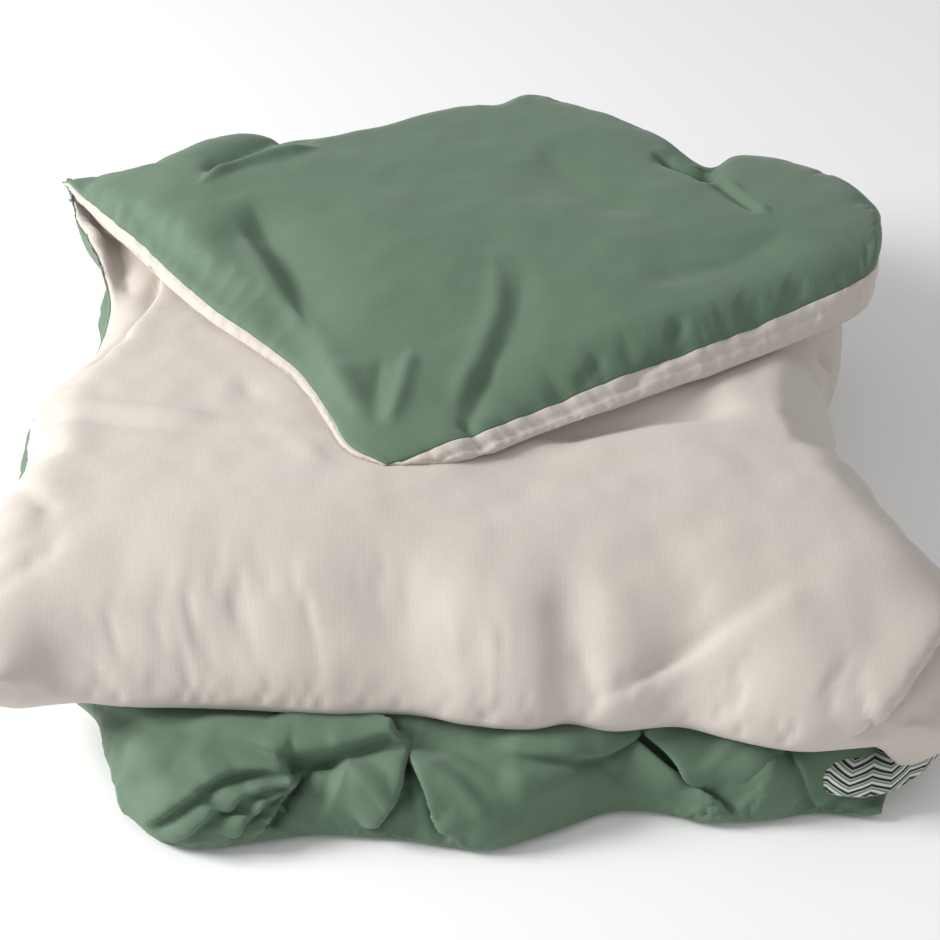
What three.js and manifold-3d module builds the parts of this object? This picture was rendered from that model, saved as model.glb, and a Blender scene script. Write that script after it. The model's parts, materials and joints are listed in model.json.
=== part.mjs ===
// Winter duvet in a reversible two-colour cover, folded up loosely on a bed, with one corner
// turned over. Millimetres, +Z up. The bed surface is z = 0, and the origin is the middle of
// the footprint. The front, where the two halves part, faces -Y.
import * as THREE from 'three';
import { mergeVertices } from 'three/addons/utils/BufferGeometryUtils.js';
import Module from 'manifold-3d';

const wasm = await Module();
wasm.setup();

// ---- Driving dimensions -------------------------------------------------------------
const PILE_LEFT = -605;          // left edge of the folded pile
const PILE_RIGHT_FRONT = 600;    // right edge, on the lengthwise fold, at the front
const PILE_RIGHT_WAIST = 545;    // the same edge, drawn in where the tucks meet
const PILE_RIGHT_BACK = 600;     // and at the back
const FRONT_LEFT = -425;         // front of the upper half, at the left
const FRONT_RIGHT = -480;        // front of the upper half, at the right
const FOLD_LEFT = [-622, 570];   // ends of the diagonal fold of the turned corner
const FOLD_RIGHT = [590, 380];
const BACK_BULGE = 262;          // how far the soft back stands out behind that fold
const CORNER_LEG = 870;          // edge of the turned corner, from the fold to the tip

const LOWER_LOFT = 92;           // lower half
const TUCK_LOFT = 72.5;          // the ends that are tucked between the halves
const UPPER_LOFT = 75;           // upper half
const CORNER_LOFT = 88;          // turned corner, at its fold
const SIDE_FOLD_DEPTH = 60;      // width of the rounded lengthwise fold
const TUCK_MEETS_Y = -60;        // where the foot tuck and the head tuck meet

const APRON_DEPTH = 140;         // lower half showing in front of the upper half
const APRON_LEFT = -405;         // ends of that front edge
const APRON_RIGHT = 470;
const APRON_SEAM = 28;           // height of its edge seam
const MOUTH_MIDDLE = [470, -12]; // insert's corner: x, and y from the upper half's front edge
const MOUTH_SIZE = [150, 84];    // its oval, in plan
const MOUTH_CLEARANCE = 13;      // lower half already flat beside it
const MOUTH_SLOPE = 0.06;        // share of the front over which it flattens to there
const MOUTH_FLAT = 80;           // how far it stays flat under the upper half
const MOUTH_RISE = 60;           // and over what length it then rises

const CLOTH = 1.5;               // cover cloth and ticking cloth, with their seam allowance
const CLEAR = 0.3;               // clearance between touching pieces
const RIM = 4;                   // two cloths and the clearance, at a seamed edge
const ROUND = 110;               // length over which a soft edge rounds off
const CREASE_ROUND = 160;        // the same under the front bulge, where the zip lies

const ZIP_LEFT = -330;           // bottom end of the zip
const ZIP_RIGHT = 290;           // top end of the zip, beside the mouth
const ZIP_TAPE = 13;             // width of each tape
const ZIP_CHAIN = 6;             // width of the closed chain
const ZIP_CHAIN_HEIGHT = 2.4;
const ZIP_TAPE_THICK = 0.9;
const ZIP_SETBACK = 28;          // from the upper half's front edge back to the zip's middle
const SLIDER_LENGTH = 13;
const PULL_LENGTH = 18;
const PULL_WIDTH = 8;
const PULL_THICK = 1.4;

const TIE_LENGTH = 16;           // corner ties and the insert's loops
const TIE_WIDTH = 7;

const LOWER_TOP = LOWER_LOFT;
const TUCK_BOTTOM = LOWER_TOP + CLEAR;
const TUCK_TOP = TUCK_BOTTOM + TUCK_LOFT;
const UPPER_BOTTOM = TUCK_TOP + CLEAR;
const UPPER_TOP = UPPER_BOTTOM + UPPER_LOFT;
const CORNER_BOTTOM = UPPER_TOP + CLEAR;

// ---- Finishes -----------------------------------------------------------------------
const finish = (colour, roughness, metalness = 0) =>
  () => new THREE.MeshStandardMaterial({ color: colour, roughness, metalness });
const greenCotton = finish(0x7c9a80, 0.75);
const beigeCotton = finish(0xdcd3ca, 0.75);
const ticking = finish(0x9fa8a2, 0.85);
const wadding = finish(0xf1efea, 0.95);
const zipTape = finish(0xd6cdc2, 0.8);
const zipTeeth = finish(0xc9c2b8, 0.5);
const zipMetal = finish(0xa9abad, 0.35, 0.9);
const tape = finish(0xe9e4dc, 0.85);

const duvet = new THREE.Group();

function add(name, geometry, material) {
  const mesh = new THREE.Mesh(geometry, material());
  mesh.name = name;
  duvet.add(mesh);
  return mesh;
}

// ---- Plan outlines ------------------------------------------------------------------
const mix = (a, b, t) => a + (b - a) * t;
const clamp = (t) => Math.min(Math.max(t, 0), 1);
const smooth = (t) => clamp(t) ** 2 * (3 - 2 * clamp(t));

// y of the straight diagonal fold, and of the rounded back behind it, at a given x
const foldY = (x) =>
  mix(FOLD_LEFT[1], FOLD_RIGHT[1], (x - FOLD_LEFT[0]) / (FOLD_RIGHT[0] - FOLD_LEFT[0]));
function backY(x) {
  const middle = (FOLD_LEFT[0] + FOLD_RIGHT[0]) / 2 + 71;
  const w = (x - middle) / ((FOLD_RIGHT[0] - FOLD_LEFT[0]) / 2 + 75);
  return foldY(x) + BACK_BULGE * (1 - w * w);
}
const frontY = (x) =>
  mix(FRONT_LEFT, FRONT_RIGHT, (x - PILE_LEFT) / (PILE_RIGHT_FRONT - PILE_LEFT));
// Right edge of the pile: full at the front and the back, drawn in where the tucks meet.
function rightX(y) {
  const [end, endX] = y < TUCK_MEETS_Y ? [FRONT_RIGHT, PILE_RIGHT_FRONT]
    : [FOLD_RIGHT[1], PILE_RIGHT_BACK];
  return mix(PILE_RIGHT_WAIST, endX, (y - TUCK_MEETS_Y) / (end - TUCK_MEETS_Y));
}
const layerRightX = (y) => rightX(y) - SIDE_FOLD_DEPTH;

// A plan maps u (left to right) and v (front to back) to [x, y].
const PLAN_RIGHT = PILE_RIGHT_FRONT - SIDE_FOLD_DEPTH;
function pilePlan(nearY, farY) {
  return (u, v) => {
    const across = mix(PILE_LEFT, PLAN_RIGHT, u);
    const edgeY = mix(nearY(PLAN_RIGHT), farY(PLAN_RIGHT), v);
    return [mix(PILE_LEFT, layerRightX(edgeY), u), mix(nearY(across), farY(across), v)];
  };
}
// The rows of a full-depth layer, with one where its right edge turns at the waist.
function withWaistRow(vs, nearY, farY) {
  const near = nearY(PLAN_RIGHT);
  const waist = (TUCK_MEETS_Y - near) / (farY(PLAN_RIGHT) - near);
  return [...vs, waist].sort((a, b) => a - b);
}

// ---- Padded layers ------------------------------------------------------------------
// One closed body between two heights over a block of grid cells.
function slab(plan, us, vs, high, low) {
  const columns = us.length;
  const points = [];
  for (const height of [high, low]) {
    for (const v of vs) {
      for (const u of us) points.push(...plan(u, v), height(u, v));
    }
  }
  const at = (layer, i, j) => layer * columns * vs.length + j * columns + i;
  const faces = [];
  for (let j = 0; j + 1 < vs.length; j++) {
    for (let i = 0; i + 1 < columns; i++) {
      const [a, b, c, d] = [[i, j], [i + 1, j], [i + 1, j + 1], [i, j + 1]];
      faces.push(at(0, ...a), at(0, ...b), at(0, ...c), at(0, ...a), at(0, ...c), at(0, ...d));
      faces.push(at(1, ...c), at(1, ...b), at(1, ...a), at(1, ...d), at(1, ...c), at(1, ...a));
    }
  }
  const rim = [];
  for (let i = 0; i + 1 < columns; i++) rim.push([i, 0]);
  for (let j = 0; j + 1 < vs.length; j++) rim.push([columns - 1, j]);
  for (let i = columns - 1; i > 0; i--) rim.push([i, vs.length - 1]);
  for (let j = vs.length - 1; j > 0; j--) rim.push([0, j]);
  rim.forEach((here, k) => {
    const next = rim[(k + 1) % rim.length];
    faces.push(at(1, ...here), at(1, ...next), at(0, ...next));
    faces.push(at(1, ...here), at(0, ...next), at(0, ...here));
  });
  return bodyFrom(points, faces);
}

function bodyFrom(points, faces) {
  const geometry = new THREE.BufferGeometry();
  geometry.setAttribute('position', new THREE.Float32BufferAttribute(points, 3));
  geometry.setIndex(faces);
  const flat = geometry.toNonIndexed();
  flat.computeVertexNormals();
  return flat;
}

// Joins two closed meshes into one.
function solid(geometry) {
  const bare = geometry.clone();
  bare.deleteAttribute('normal');
  bare.deleteAttribute('uv');
  const merged = mergeVertices(bare);
  return new wasm.Manifold(new wasm.Mesh({
    numProp: 3,
    vertProperties: new Float32Array(merged.attributes.position.array),
    triVerts: new Uint32Array(merged.index.array),
  }));
}
function joined(a, b) {
  const mesh = solid(a).add(solid(b)).getMesh();
  return bodyFrom(Array.from(mesh.vertProperties), Array.from(mesh.triVerts));
}

const roundOff = (distance, length) => Math.sqrt(1 - (1 - clamp(distance / length)) ** 2);

// The two faces of a padded layer: full loft inside, closing to a rim at each soft edge.
// An edge's anchor says where its rim lies: 0 on the lower face, 1 on the upper, 0.5 between.
function paddedFaces({ bottom, loft, edges }) {
  const shape = (u, v) => {
    let open = 1;
    let weight = 1e-9;
    let anchored = 0;
    for (const edge of edges) {
      const p = roundOff(edge.distance(u, v), edge.length ?? ROUND);
      open *= p;
      weight += 1 - p;
      anchored += (1 - p) * edge.anchor;
    }
    const thick = RIM + (loft - RIM) * open;
    const low = bottom + (anchored / weight) * (loft - thick);
    return [low, low + thick];
  };
  return { low: (u, v) => shape(u, v)[0], high: (u, v) => shape(u, v)[1] };
}

// Cover, ticking, wadding, ticking and cover, from the top down, on one grid. The insert
// stops one ring of cells short of every soft edge that its skips name.
function paddedLayer(part, names, { plan, us, vs, faces, skips }) {
  const innerUs = us.slice(skips.left, us.length - skips.right);
  const innerVs = vs.slice(skips.front, vs.length - skips.back);
  const step = CLOTH + CLEAR;
  const sheet = (a, b, from, depth) => slab(plan, a, b,
    (u, v) => faces[from](u, v) + (from === 'high' ? -depth : depth + CLOTH),
    (u, v) => faces[from](u, v) + (from === 'high' ? -depth - CLOTH : depth));
  add(names.top, sheet(us, vs, 'high', 0), names.topFinish);
  add(`ticking_top_${part}`, sheet(innerUs, innerVs, 'high', step), ticking);
  add(`fill_${part}`, slab(plan, innerUs, innerVs,
    (u, v) => faces.high(u, v) - 2 * step, (u, v) => faces.low(u, v) + 2 * step), wadding);
  add(`ticking_bottom_${part}`, sheet(innerUs, innerVs, 'low', step), ticking);
  add(names.bottom, sheet(us, vs, 'low', 0), names.bottomFinish);
}

const ACROSS = [0, 0.022, 0.06, 0.14, 0.38, 0.62, 0.82, 1];
const LEFT_EDGE = { insertU: ACROSS[1], coverU: ACROSS[0], outward: Math.PI };

// distances, in plan, from a layer's soft edges
const fromLeft = (plan) => (u, v) => plan(u, v)[0] - PILE_LEFT;
const fromNear = (plan) => (u, v) => plan(u, v)[1] - plan(u, 0)[1];
const fromFar = (plan) => (u, v) => plan(u, 1)[1] - plan(u, v)[1];

// ---- Corner ties --------------------------------------------------------------------
// A loop sewn to the insert's edge seam, and beside it a tie sewn into the cover's seam.
// They lie at the seam's height, between the insert's edge and the cover's.
function cornerTie(part, { plan, faces, insertU, coverU, v, outward }) {
  const [x, y] = plan(insertU, v);
  const z = (faces.low(coverU, v) + faces.high(coverU, v) - CLOTH) / 2;
  const ribbon = (name, from) => {
    const geometry = new THREE.BoxGeometry(TIE_WIDTH, TIE_LENGTH, CLOTH);
    geometry.translate(from + TIE_WIDTH / 2, 0, CLOTH / 2);
    geometry.rotateZ(outward).translate(x, y, z);
    add(`${name}_${part}`, geometry, tape);
  };
  ribbon('insert_loop', CLEAR);
  ribbon('cover_tie', 2 * CLEAR + TIE_WIDTH);
}

// ---- Lower half, green side up ------------------------------------------------------
// Its front reaches out from under the upper half as a narrower apron.
const apronY = (x) => frontY(x) - APRON_DEPTH + 45 * smooth((x - 60) / 300);
function lowerPlan(u, v) {
  const [x, y] = pilePlan(apronY, backY)(u, v);
  const out = smooth((frontY(x) + 110 - y) / (APRON_DEPTH + 60));
  const apronX = mix(APRON_LEFT, APRON_RIGHT, u);
  return [mix(x, apronX, out), y];
}
// At the right of the apron the mouth is open, so the cloth lies almost flat.
const mouthLeftX = MOUTH_MIDDLE[0] - MOUTH_SIZE[0] / 2 - MOUTH_CLEARANCE;
const MOUTH_TO = Math.min(
  (mouthLeftX - PILE_LEFT) / (PLAN_RIGHT - PILE_LEFT),
  (mouthLeftX - APRON_LEFT) / (APRON_RIGHT - APRON_LEFT));
const MOUTH_FROM = MOUTH_TO - MOUTH_SLOPE;
function lowerLoft(u, v) {
  const mouth = smooth((u - MOUTH_FROM) / (MOUTH_TO - MOUTH_FROM));
  const [x, y] = lowerPlan(u, v);
  const behind = smooth((y - frontY(x) - MOUTH_FLAT) / MOUTH_RISE);
  return mix(LOWER_LOFT, mix(APRON_SEAM, LOWER_LOFT, behind), mouth);
}
function lowerHalf() {
  const edges = [
    { distance: (u, v) => u * (PILE_RIGHT_FRONT - PILE_LEFT), anchor: 0.5 },
    { distance: fromNear(lowerPlan), anchor: APRON_SEAM / LOWER_LOFT },
    { distance: fromFar(lowerPlan), anchor: 1 },
  ];
  const at = (u, v) => paddedFaces({ bottom: 0, loft: lowerLoft(u, v), edges });
  const faces = { low: (u, v) => at(u, v).low(u, v), high: (u, v) => at(u, v).high(u, v) };
  paddedLayer('lower', {
    top: 'cover_green_lower', topFinish: greenCotton,
    bottom: 'cover_beige_lower', bottomFinish: beigeCotton,
  }, {
    plan: lowerPlan, faces,
    us: [...ACROSS.slice(0, 5), 0.6, MOUTH_FROM, (MOUTH_FROM + MOUTH_TO) / 2, MOUTH_TO, 1],
    vs: withWaistRow([0, 0.02, 0.05, 0.085, 0.13, 0.18, 0.26, 0.65, 0.82, 0.91, 0.96, 0.985, 1],
      apronY, backY),
    skips: { left: 1, right: 0, front: 1, back: 1 },
  });
  cornerTie('lower', { plan: lowerPlan, faces, ...LEFT_EDGE, v: 0.35 });
}

// ---- Tucked ends between the halves -------------------------------------------------
function footTuck() {
  const plan = pilePlan(frontY, () => TUCK_MEETS_Y - CLEAR);
  const faces = paddedFaces({
    bottom: TUCK_BOTTOM, loft: TUCK_LOFT,
    edges: [
      { distance: fromLeft(plan), anchor: 0.5 },
      { distance: fromNear(plan), anchor: 1, length: CREASE_ROUND },
    ],
  });
  paddedLayer('foot_tuck', {
    top: 'cover_green_foot_tuck', topFinish: greenCotton,
    bottom: 'cover_beige_foot_tuck', bottomFinish: beigeCotton,
  }, {
    plan, faces, us: ACROSS, vs: [0, 0.03, 0.09, 0.18, 0.3, 0.6, 1],
    skips: { left: 1, right: 0, front: 1, back: 0 },
  });
  cornerTie('foot_tuck', { plan, faces, ...LEFT_EDGE, v: 0.6 });
}
function headTuck() {
  const plan = pilePlan(() => TUCK_MEETS_Y + CLEAR, backY);
  const faces = paddedFaces({
    bottom: TUCK_BOTTOM, loft: TUCK_LOFT,
    edges: [{ distance: fromLeft(plan), anchor: 0.5 }, { distance: fromFar(plan), anchor: 0 }],
  });
  paddedLayer('head_tuck', {
    top: 'cover_beige_head_tuck', topFinish: beigeCotton,
    bottom: 'cover_green_head_tuck', bottomFinish: greenCotton,
  }, {
    plan, faces, us: ACROSS, vs: [0, 0.35, 0.7, 0.85, 0.93, 0.975, 1],
    skips: { left: 1, right: 0, front: 0, back: 1 },
  });
  cornerTie('head_tuck', { plan, faces, ...LEFT_EDGE, v: 0.7 });
}

// ---- Upper half, beige side up ------------------------------------------------------
function upperHalf() {
  const plan = pilePlan(frontY, backY);
  paddedLayer('upper', {
    top: 'cover_beige_upper', topFinish: beigeCotton,
    bottom: 'cover_green_upper', bottomFinish: greenCotton,
  }, {
    plan, us: ACROSS,
    vs: withWaistRow([0, 0.012, 0.035, 0.07, 0.12, 0.65, 0.82, 0.9, 0.955, 0.985, 1],
      frontY, backY),
    faces: paddedFaces({
      bottom: UPPER_BOTTOM, loft: UPPER_LOFT,
      edges: [
        { distance: fromLeft(plan), anchor: 0.5 },
        { distance: fromNear(plan), anchor: 0 },
        { distance: fromFar(plan), anchor: 1 },
      ],
    }),
    skips: { left: 1, right: 0, front: 1, back: 1 },
  });
}

// ---- Back fold, behind the turned corner --------------------------------------------
const BACK_FOLD_END = 62;        // how far the back fold stops short of the fold's two ends
function backFold() {
  const from = FOLD_LEFT[0] + BACK_FOLD_END;
  const to = FOLD_RIGHT[0] - BACK_FOLD_END;
  const plan = (u, v) => {
    const x = mix(from, to, u);
    return [x, mix(foldY(x) + CLEAR, backY(x), v)];
  };
  paddedLayer('back_fold', {
    top: 'cover_green_back_fold', topFinish: greenCotton,
    bottom: 'cover_beige_back_fold', bottomFinish: beigeCotton,
  }, {
    plan, us: [0, 0.02, 0.06, 0.12, 0.4, 0.7, 0.88, 0.94, 0.98, 1], vs: [0, 0.3, 0.6, 0.8, 0.92, 1],
    faces: paddedFaces({
      bottom: CORNER_BOTTOM, loft: CORNER_LOFT,
      edges: [
        { distance: (u, v) => plan(u, v)[0] - from, anchor: 0 },
        { distance: (u, v) => to - plan(u, v)[0], anchor: 0 },
        { distance: fromFar(plan), anchor: 0 },
      ],
    }),
    skips: { left: 1, right: 1, front: 0, back: 1 },
  });
}

// ---- Turned corner ------------------------------------------------------------------
// A square corner folded over on its diagonal: s runs to the left edge, t to the right edge,
// and the tip is at s = t = 1.
const along = new THREE.Vector2(...FOLD_RIGHT).sub(new THREE.Vector2(...FOLD_LEFT));
const foldMiddle = new THREE.Vector2(...FOLD_LEFT).addScaledVector(along, 0.5);
const forward = new THREE.Vector2(along.y, -along.x).normalize();
const foldHalf = along.length() / 2;
const tipReach = Math.sqrt(Math.max(CORNER_LEG ** 2 - foldHalf ** 2, 1));
function cornerPlan(s, t) {
  const side = along.clone().normalize().multiplyScalar((t - s) * foldHalf);
  const out = forward.clone().multiplyScalar(s * t * tipReach + CLEAR);
  const p = foldMiddle.clone().add(side).add(out);
  return [p.x, p.y];
}
const HEM_LIFT = CLOTH + CLEAR;
const CORNER_RINGS = [0, 0.22, 0.45, 0.68, 0.84, 0.92, 0.955, 0.977, 1];
const HEM_RING = CORNER_RINGS.at(-2);
function turnedCorner() {
  // the hem bands lie under the outermost ring, so the padded corner stands on them there
  const lift = (s, t) => HEM_LIFT * smooth((Math.max(s, t) - CORNER_RINGS.at(-4))
    / (HEM_RING - CORNER_RINGS.at(-4)));
  const padded = paddedFaces({
    bottom: CORNER_BOTTOM, loft: CORNER_LOFT,
    edges: [
      { distance: (s) => (1 - s) * CORNER_LEG, anchor: 0.12 },
      { distance: (s, t) => (1 - t) * CORNER_LEG, anchor: 0.12 },
    ],
  });
  const faces = {
    low: (s, t) => padded.low(s, t) + lift(s, t),
    high: (s, t) => Math.max(padded.high(s, t), padded.low(s, t) + RIM + HEM_LIFT),
  };
  paddedLayer('corner', {
    top: 'cover_green_corner', topFinish: greenCotton,
    bottom: 'cover_beige_corner', bottomFinish: beigeCotton,
  }, {
    plan: cornerPlan, us: CORNER_RINGS, vs: CORNER_RINGS, faces,
    skips: { left: 0, right: 1, front: 0, back: 1 },
  });
  const leftEdge = new THREE.Vector2(...cornerPlan(1, 0)).sub(new THREE.Vector2(...cornerPlan(1, 1)));
  cornerTie('corner', {
    plan: cornerPlan, faces, insertU: HEM_RING, coverU: 1, v: 0.88,
    outward: leftEdge.angle() + Math.PI / 2,
  });
  const hem = [HEM_RING, 1];
  const inner = CORNER_RINGS.slice(0, -2);
  const hemHigh = () => CORNER_BOTTOM + CLOTH;
  const hemLow = () => CORNER_BOTTOM;
  add('corner_hem_left', slab(cornerPlan, hem, CORNER_RINGS, hemHigh, hemLow), beigeCotton);
  add('corner_hem_right', slab(cornerPlan, inner, hem, hemHigh, hemLow), beigeCotton);
}

// ---- Lengthwise fold at the right ---------------------------------------------------
// Half-oval sections swept from the front to the back, nested: cover, ticking, wadding.
function sweep(sections) {
  const count = sections[0].length;
  const points = sections.flat(2);
  const faces = [];
  for (let k = 0; k + 1 < sections.length; k++) {
    for (let i = 0; i < count; i++) {
      const [a, b] = [k * count + i, k * count + ((i + 1) % count)];
      faces.push(a, b + count, b, a, a + count, b + count);
    }
  }
  const cap = THREE.ShapeUtils.triangulateShape(
    sections[0].map(([x, , z]) => new THREE.Vector2(x, z)), []);
  const last = (sections.length - 1) * count;
  for (const [a, b, c] of cap) {
    faces.push(a, b, c, last + c, last + b, last + a);
  }
  return bodyFrom(points, faces);
}
function sideFold() {
  const middle = UPPER_TOP / 2;
  const arc = (y, inset, reversed) => {
    const points = [];
    const steps = 10;
    for (let k = 0; k <= steps; k++) {
      const angle = Math.PI * (k / steps - 0.5) * (reversed ? -1 : 1);
      points.push([
        layerRightX(y) + 2 * CLEAR + (SIDE_FOLD_DEPTH - inset) * Math.cos(angle), y,
        middle + (middle - inset) * Math.sin(angle),
      ]);
    }
    return points;
  };
  const near = frontY(PILE_RIGHT_FRONT) + 30;
  const far = backY(FOLD_RIGHT[0]) - 10;
  const ys = [near, mix(near, TUCK_MEETS_Y, 0.5), TUCK_MEETS_Y, mix(TUCK_MEETS_Y, far, 0.5), far];
  const shell = (inset) => ys.map((y) => [...arc(y, inset), ...arc(y, inset + CLOTH, true)]);
  add('cover_beige_side_fold', sweep(shell(0)), beigeCotton);
  add('ticking_side_fold', sweep(shell(CLOTH + CLEAR)), ticking);
  add('fill_side_fold', sweep(ys.map((y) => arc(y, 2 * (CLOTH + CLEAR)))), wadding);
}

// ---- Insert showing at the mouth ----------------------------------------------------
const MOUTH_EDGE = 5;                // its wadding, at the edge and added at the middle
const MOUTH_CROWN = 12;
const MOUTH_MARGIN = 6;              // lower cloth standing out round the wadding
function mouthCorner() {
  const middle = [MOUTH_MIDDLE[0], frontY(MOUTH_MIDDLE[0]) + MOUTH_MIDDLE[1]];
  const rings = [0, 0.06, 0.2, 0.5, 0.8, 0.94, 1];
  // a square grid drawn onto an oval
  const oval = (margin) => (u, v) => {
    const [a, b] = [2 * u - 1, 2 * v - 1];
    return [
      middle[0] + (MOUTH_SIZE[0] / 2 - margin) * a * Math.sqrt(1 - (b * b) / 2),
      middle[1] + (MOUTH_SIZE[1] / 2 - margin) * b * Math.sqrt(1 - (a * a) / 2),
    ];
  };
  const crown = (u, v) => Math.sqrt((1 - (2 * u - 1) ** 2) * (1 - (2 * v - 1) ** 2));
  const bottom = APRON_SEAM + CLEAR;
  const padLow = bottom + CLOTH + CLEAR;
  const padHigh = (u, v) => padLow + MOUTH_EDGE + MOUTH_CROWN * crown(u, v);
  const topLow = (u, v) => padHigh(u, v) + CLEAR;
  add('ticking_mouth_bottom',
    slab(oval(0), rings, rings, () => bottom + CLOTH, () => bottom), ticking);
  add('fill_mouth', slab(oval(MOUTH_MARGIN), rings, rings, padHigh, () => padLow), wadding);
  add('ticking_mouth_top',
    slab(oval(MOUTH_MARGIN), rings, rings, (u, v) => topLow(u, v) + CLOTH, topLow), ticking);
}

// ---- Zip along the foot edge --------------------------------------------------------
// The zip follows the upper half's front edge. Its pieces are made along X, with the top end
// of the chain's middle line at the origin, and then turned and moved to that edge.
const ZIP_STOP = 4;
const edgeTurn = Math.atan2(FRONT_RIGHT - FRONT_LEFT, PILE_RIGHT_FRONT - PILE_LEFT);
const zipLength = (ZIP_RIGHT - ZIP_LEFT) / Math.cos(edgeTurn);
function addOnZip(name, geometry, material) {
  geometry.rotateZ(edgeTurn);
  geometry.translate(ZIP_RIGHT, frontY(ZIP_RIGHT) + ZIP_SETBACK, LOWER_TOP + CLEAR);
  add(name, geometry, material);
}
function strip(from, to, middleY, width, height) {
  const geometry = new THREE.BoxGeometry(to - from, width, height);
  return geometry.translate((from + to) / 2, middleY, height / 2);
}
function zip() {
  const tapeY = ZIP_CHAIN / 2 + CLEAR + ZIP_TAPE / 2;
  const inner = ZIP_STOP + CLEAR;
  const stopHeight = ZIP_CHAIN_HEIGHT + 0.6;
  const tapeStrip = (side) => strip(-zipLength, 0, side * tapeY, ZIP_TAPE, ZIP_TAPE_THICK);
  addOnZip('zip_tape_front', tapeStrip(-1), zipTape);
  addOnZip('zip_tape_back', tapeStrip(1), zipTape);
  addOnZip('zip_chain', strip(inner - zipLength, -inner, 0, ZIP_CHAIN, ZIP_CHAIN_HEIGHT), zipTeeth);
  addOnZip('zip_bottom_stop',
    strip(-zipLength, ZIP_STOP - zipLength, 0, ZIP_CHAIN, stopHeight), zipMetal);
  addOnZip('zip_top_stop', strip(-ZIP_STOP, 0, 0, ZIP_CHAIN, stopHeight), zipMetal);
}

// The slider is a saddle over the chain with an arch on top, and the pull hangs in the arch.
const SLIDER_WALL = 1.2;             // its plate and its two flanges
const ARCH_LEG = 1.2;
const ARCH_GAP = 4;
const ARCH_INSIDE = 2.7;
const ARCH_WIDTH = 3;
const ARCH_SINK = 0.2;               // the arch's feet, let into the plate
const ARCH_CHAMFER = 0.6;
const EYE_SIDE = 1;                  // room beside the arch in the pull's eye
const EYE_LENGTH = 4.6;
const sliderMiddle = -(ZIP_STOP + 2 * CLEAR + 1 + SLIDER_LENGTH / 2);
const sliderFloor = ZIP_CHAIN_HEIGHT + CLEAR;
const plateTop = sliderFloor + SLIDER_WALL;
const pullAxisHeight = plateTop + (ARCH_INSIDE - ARCH_SINK) / 2;
const outlineOf = (points) => new THREE.Shape(points.map(([a, b]) => new THREE.Vector2(a, b)));

function slider() {
  const inner = ZIP_CHAIN / 2 + CLEAR;
  const outer = inner + SLIDER_WALL;
  const drop = ZIP_TAPE_THICK + CLEAR;
  const saddle = outlineOf([
    [-outer, drop], [-inner, drop], [-inner, sliderFloor], [inner, sliderFloor],
    [inner, drop], [outer, drop], [outer, plateTop], [-outer, plateTop],
  ]);
  const body = new THREE.ExtrudeGeometry(saddle, { depth: SLIDER_LENGTH, bevelEnabled: false });
  // the section is drawn in Y and Z, and runs along X
  body.rotateX(Math.PI / 2).rotateZ(Math.PI / 2);
  body.translate(sliderMiddle - SLIDER_LENGTH / 2, 0, 0);
  const [gap, half, top] = [ARCH_GAP / 2, ARCH_GAP / 2 + ARCH_LEG, ARCH_INSIDE + ARCH_LEG];
  const arch = outlineOf([
    [-half, 0], [-gap, 0], [-gap, ARCH_INSIDE], [gap, ARCH_INSIDE], [gap, 0], [half, 0],
    [half, top - ARCH_CHAMFER], [half - ARCH_CHAMFER, top],
    [ARCH_CHAMFER - half, top], [-half, top - ARCH_CHAMFER],
  ]);
  const handle = new THREE.ExtrudeGeometry(arch, { depth: ARCH_WIDTH, bevelEnabled: false });
  handle.rotateX(Math.PI / 2);
  handle.translate(sliderMiddle, ARCH_WIDTH / 2, plateTop - ARCH_SINK);
  addOnZip('zip_slider', joined(body, handle), zipMetal);
}
function pull() {
  const [halfWidth, bar] = [PULL_WIDTH / 2, PULL_THICK / 2];
  const outline = new THREE.Shape();
  outline.moveTo(-bar, -halfWidth).lineTo(PULL_LENGTH - halfWidth, -halfWidth);
  outline.absarc(PULL_LENGTH - halfWidth, 0, halfWidth, -Math.PI / 2, Math.PI / 2, false);
  outline.lineTo(-bar, halfWidth);
  const eyeHalf = ARCH_WIDTH / 2 + EYE_SIDE;
  outline.holes.push(outlineOf([
    [bar, -eyeHalf], [bar, eyeHalf], [bar + EYE_LENGTH, eyeHalf], [bar + EYE_LENGTH, -eyeHalf],
  ]));
  const tab = new THREE.ExtrudeGeometry(outline, {
    depth: PULL_THICK, bevelEnabled: false, curveSegments: 6,
  });
  addOnZip('zip_pull', tab.translate(sliderMiddle, 0, pullAxisHeight - PULL_THICK / 2), zipMetal);
}

// ---- Assembly -----------------------------------------------------------------------
lowerHalf();
footTuck();
headTuck();
upperHalf();
backFold();
turnedCorner();
sideFold();
mouthCorner();
zip();
slider();
pull();

// The origin is the middle of the footprint, on the bed.
const bounds = new THREE.Box3().setFromObject(duvet);
const centre = bounds.getCenter(new THREE.Vector3());
for (const mesh of duvet.children) mesh.position.set(-centre.x, -centre.y, 0);

export default duvet;
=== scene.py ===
"""A winter duvet in a reversible green and beige cover, folded up on a bed with one corner turned over.

The soft pieces are pads: closed forms between an upper and a lower height over one outline, with
rounded edges. Cloth simulation loosens their fabric, and then folds are laid on them as strokes."""
import json
import math
import bpy
import numpy as np
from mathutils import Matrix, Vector, noise


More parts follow.
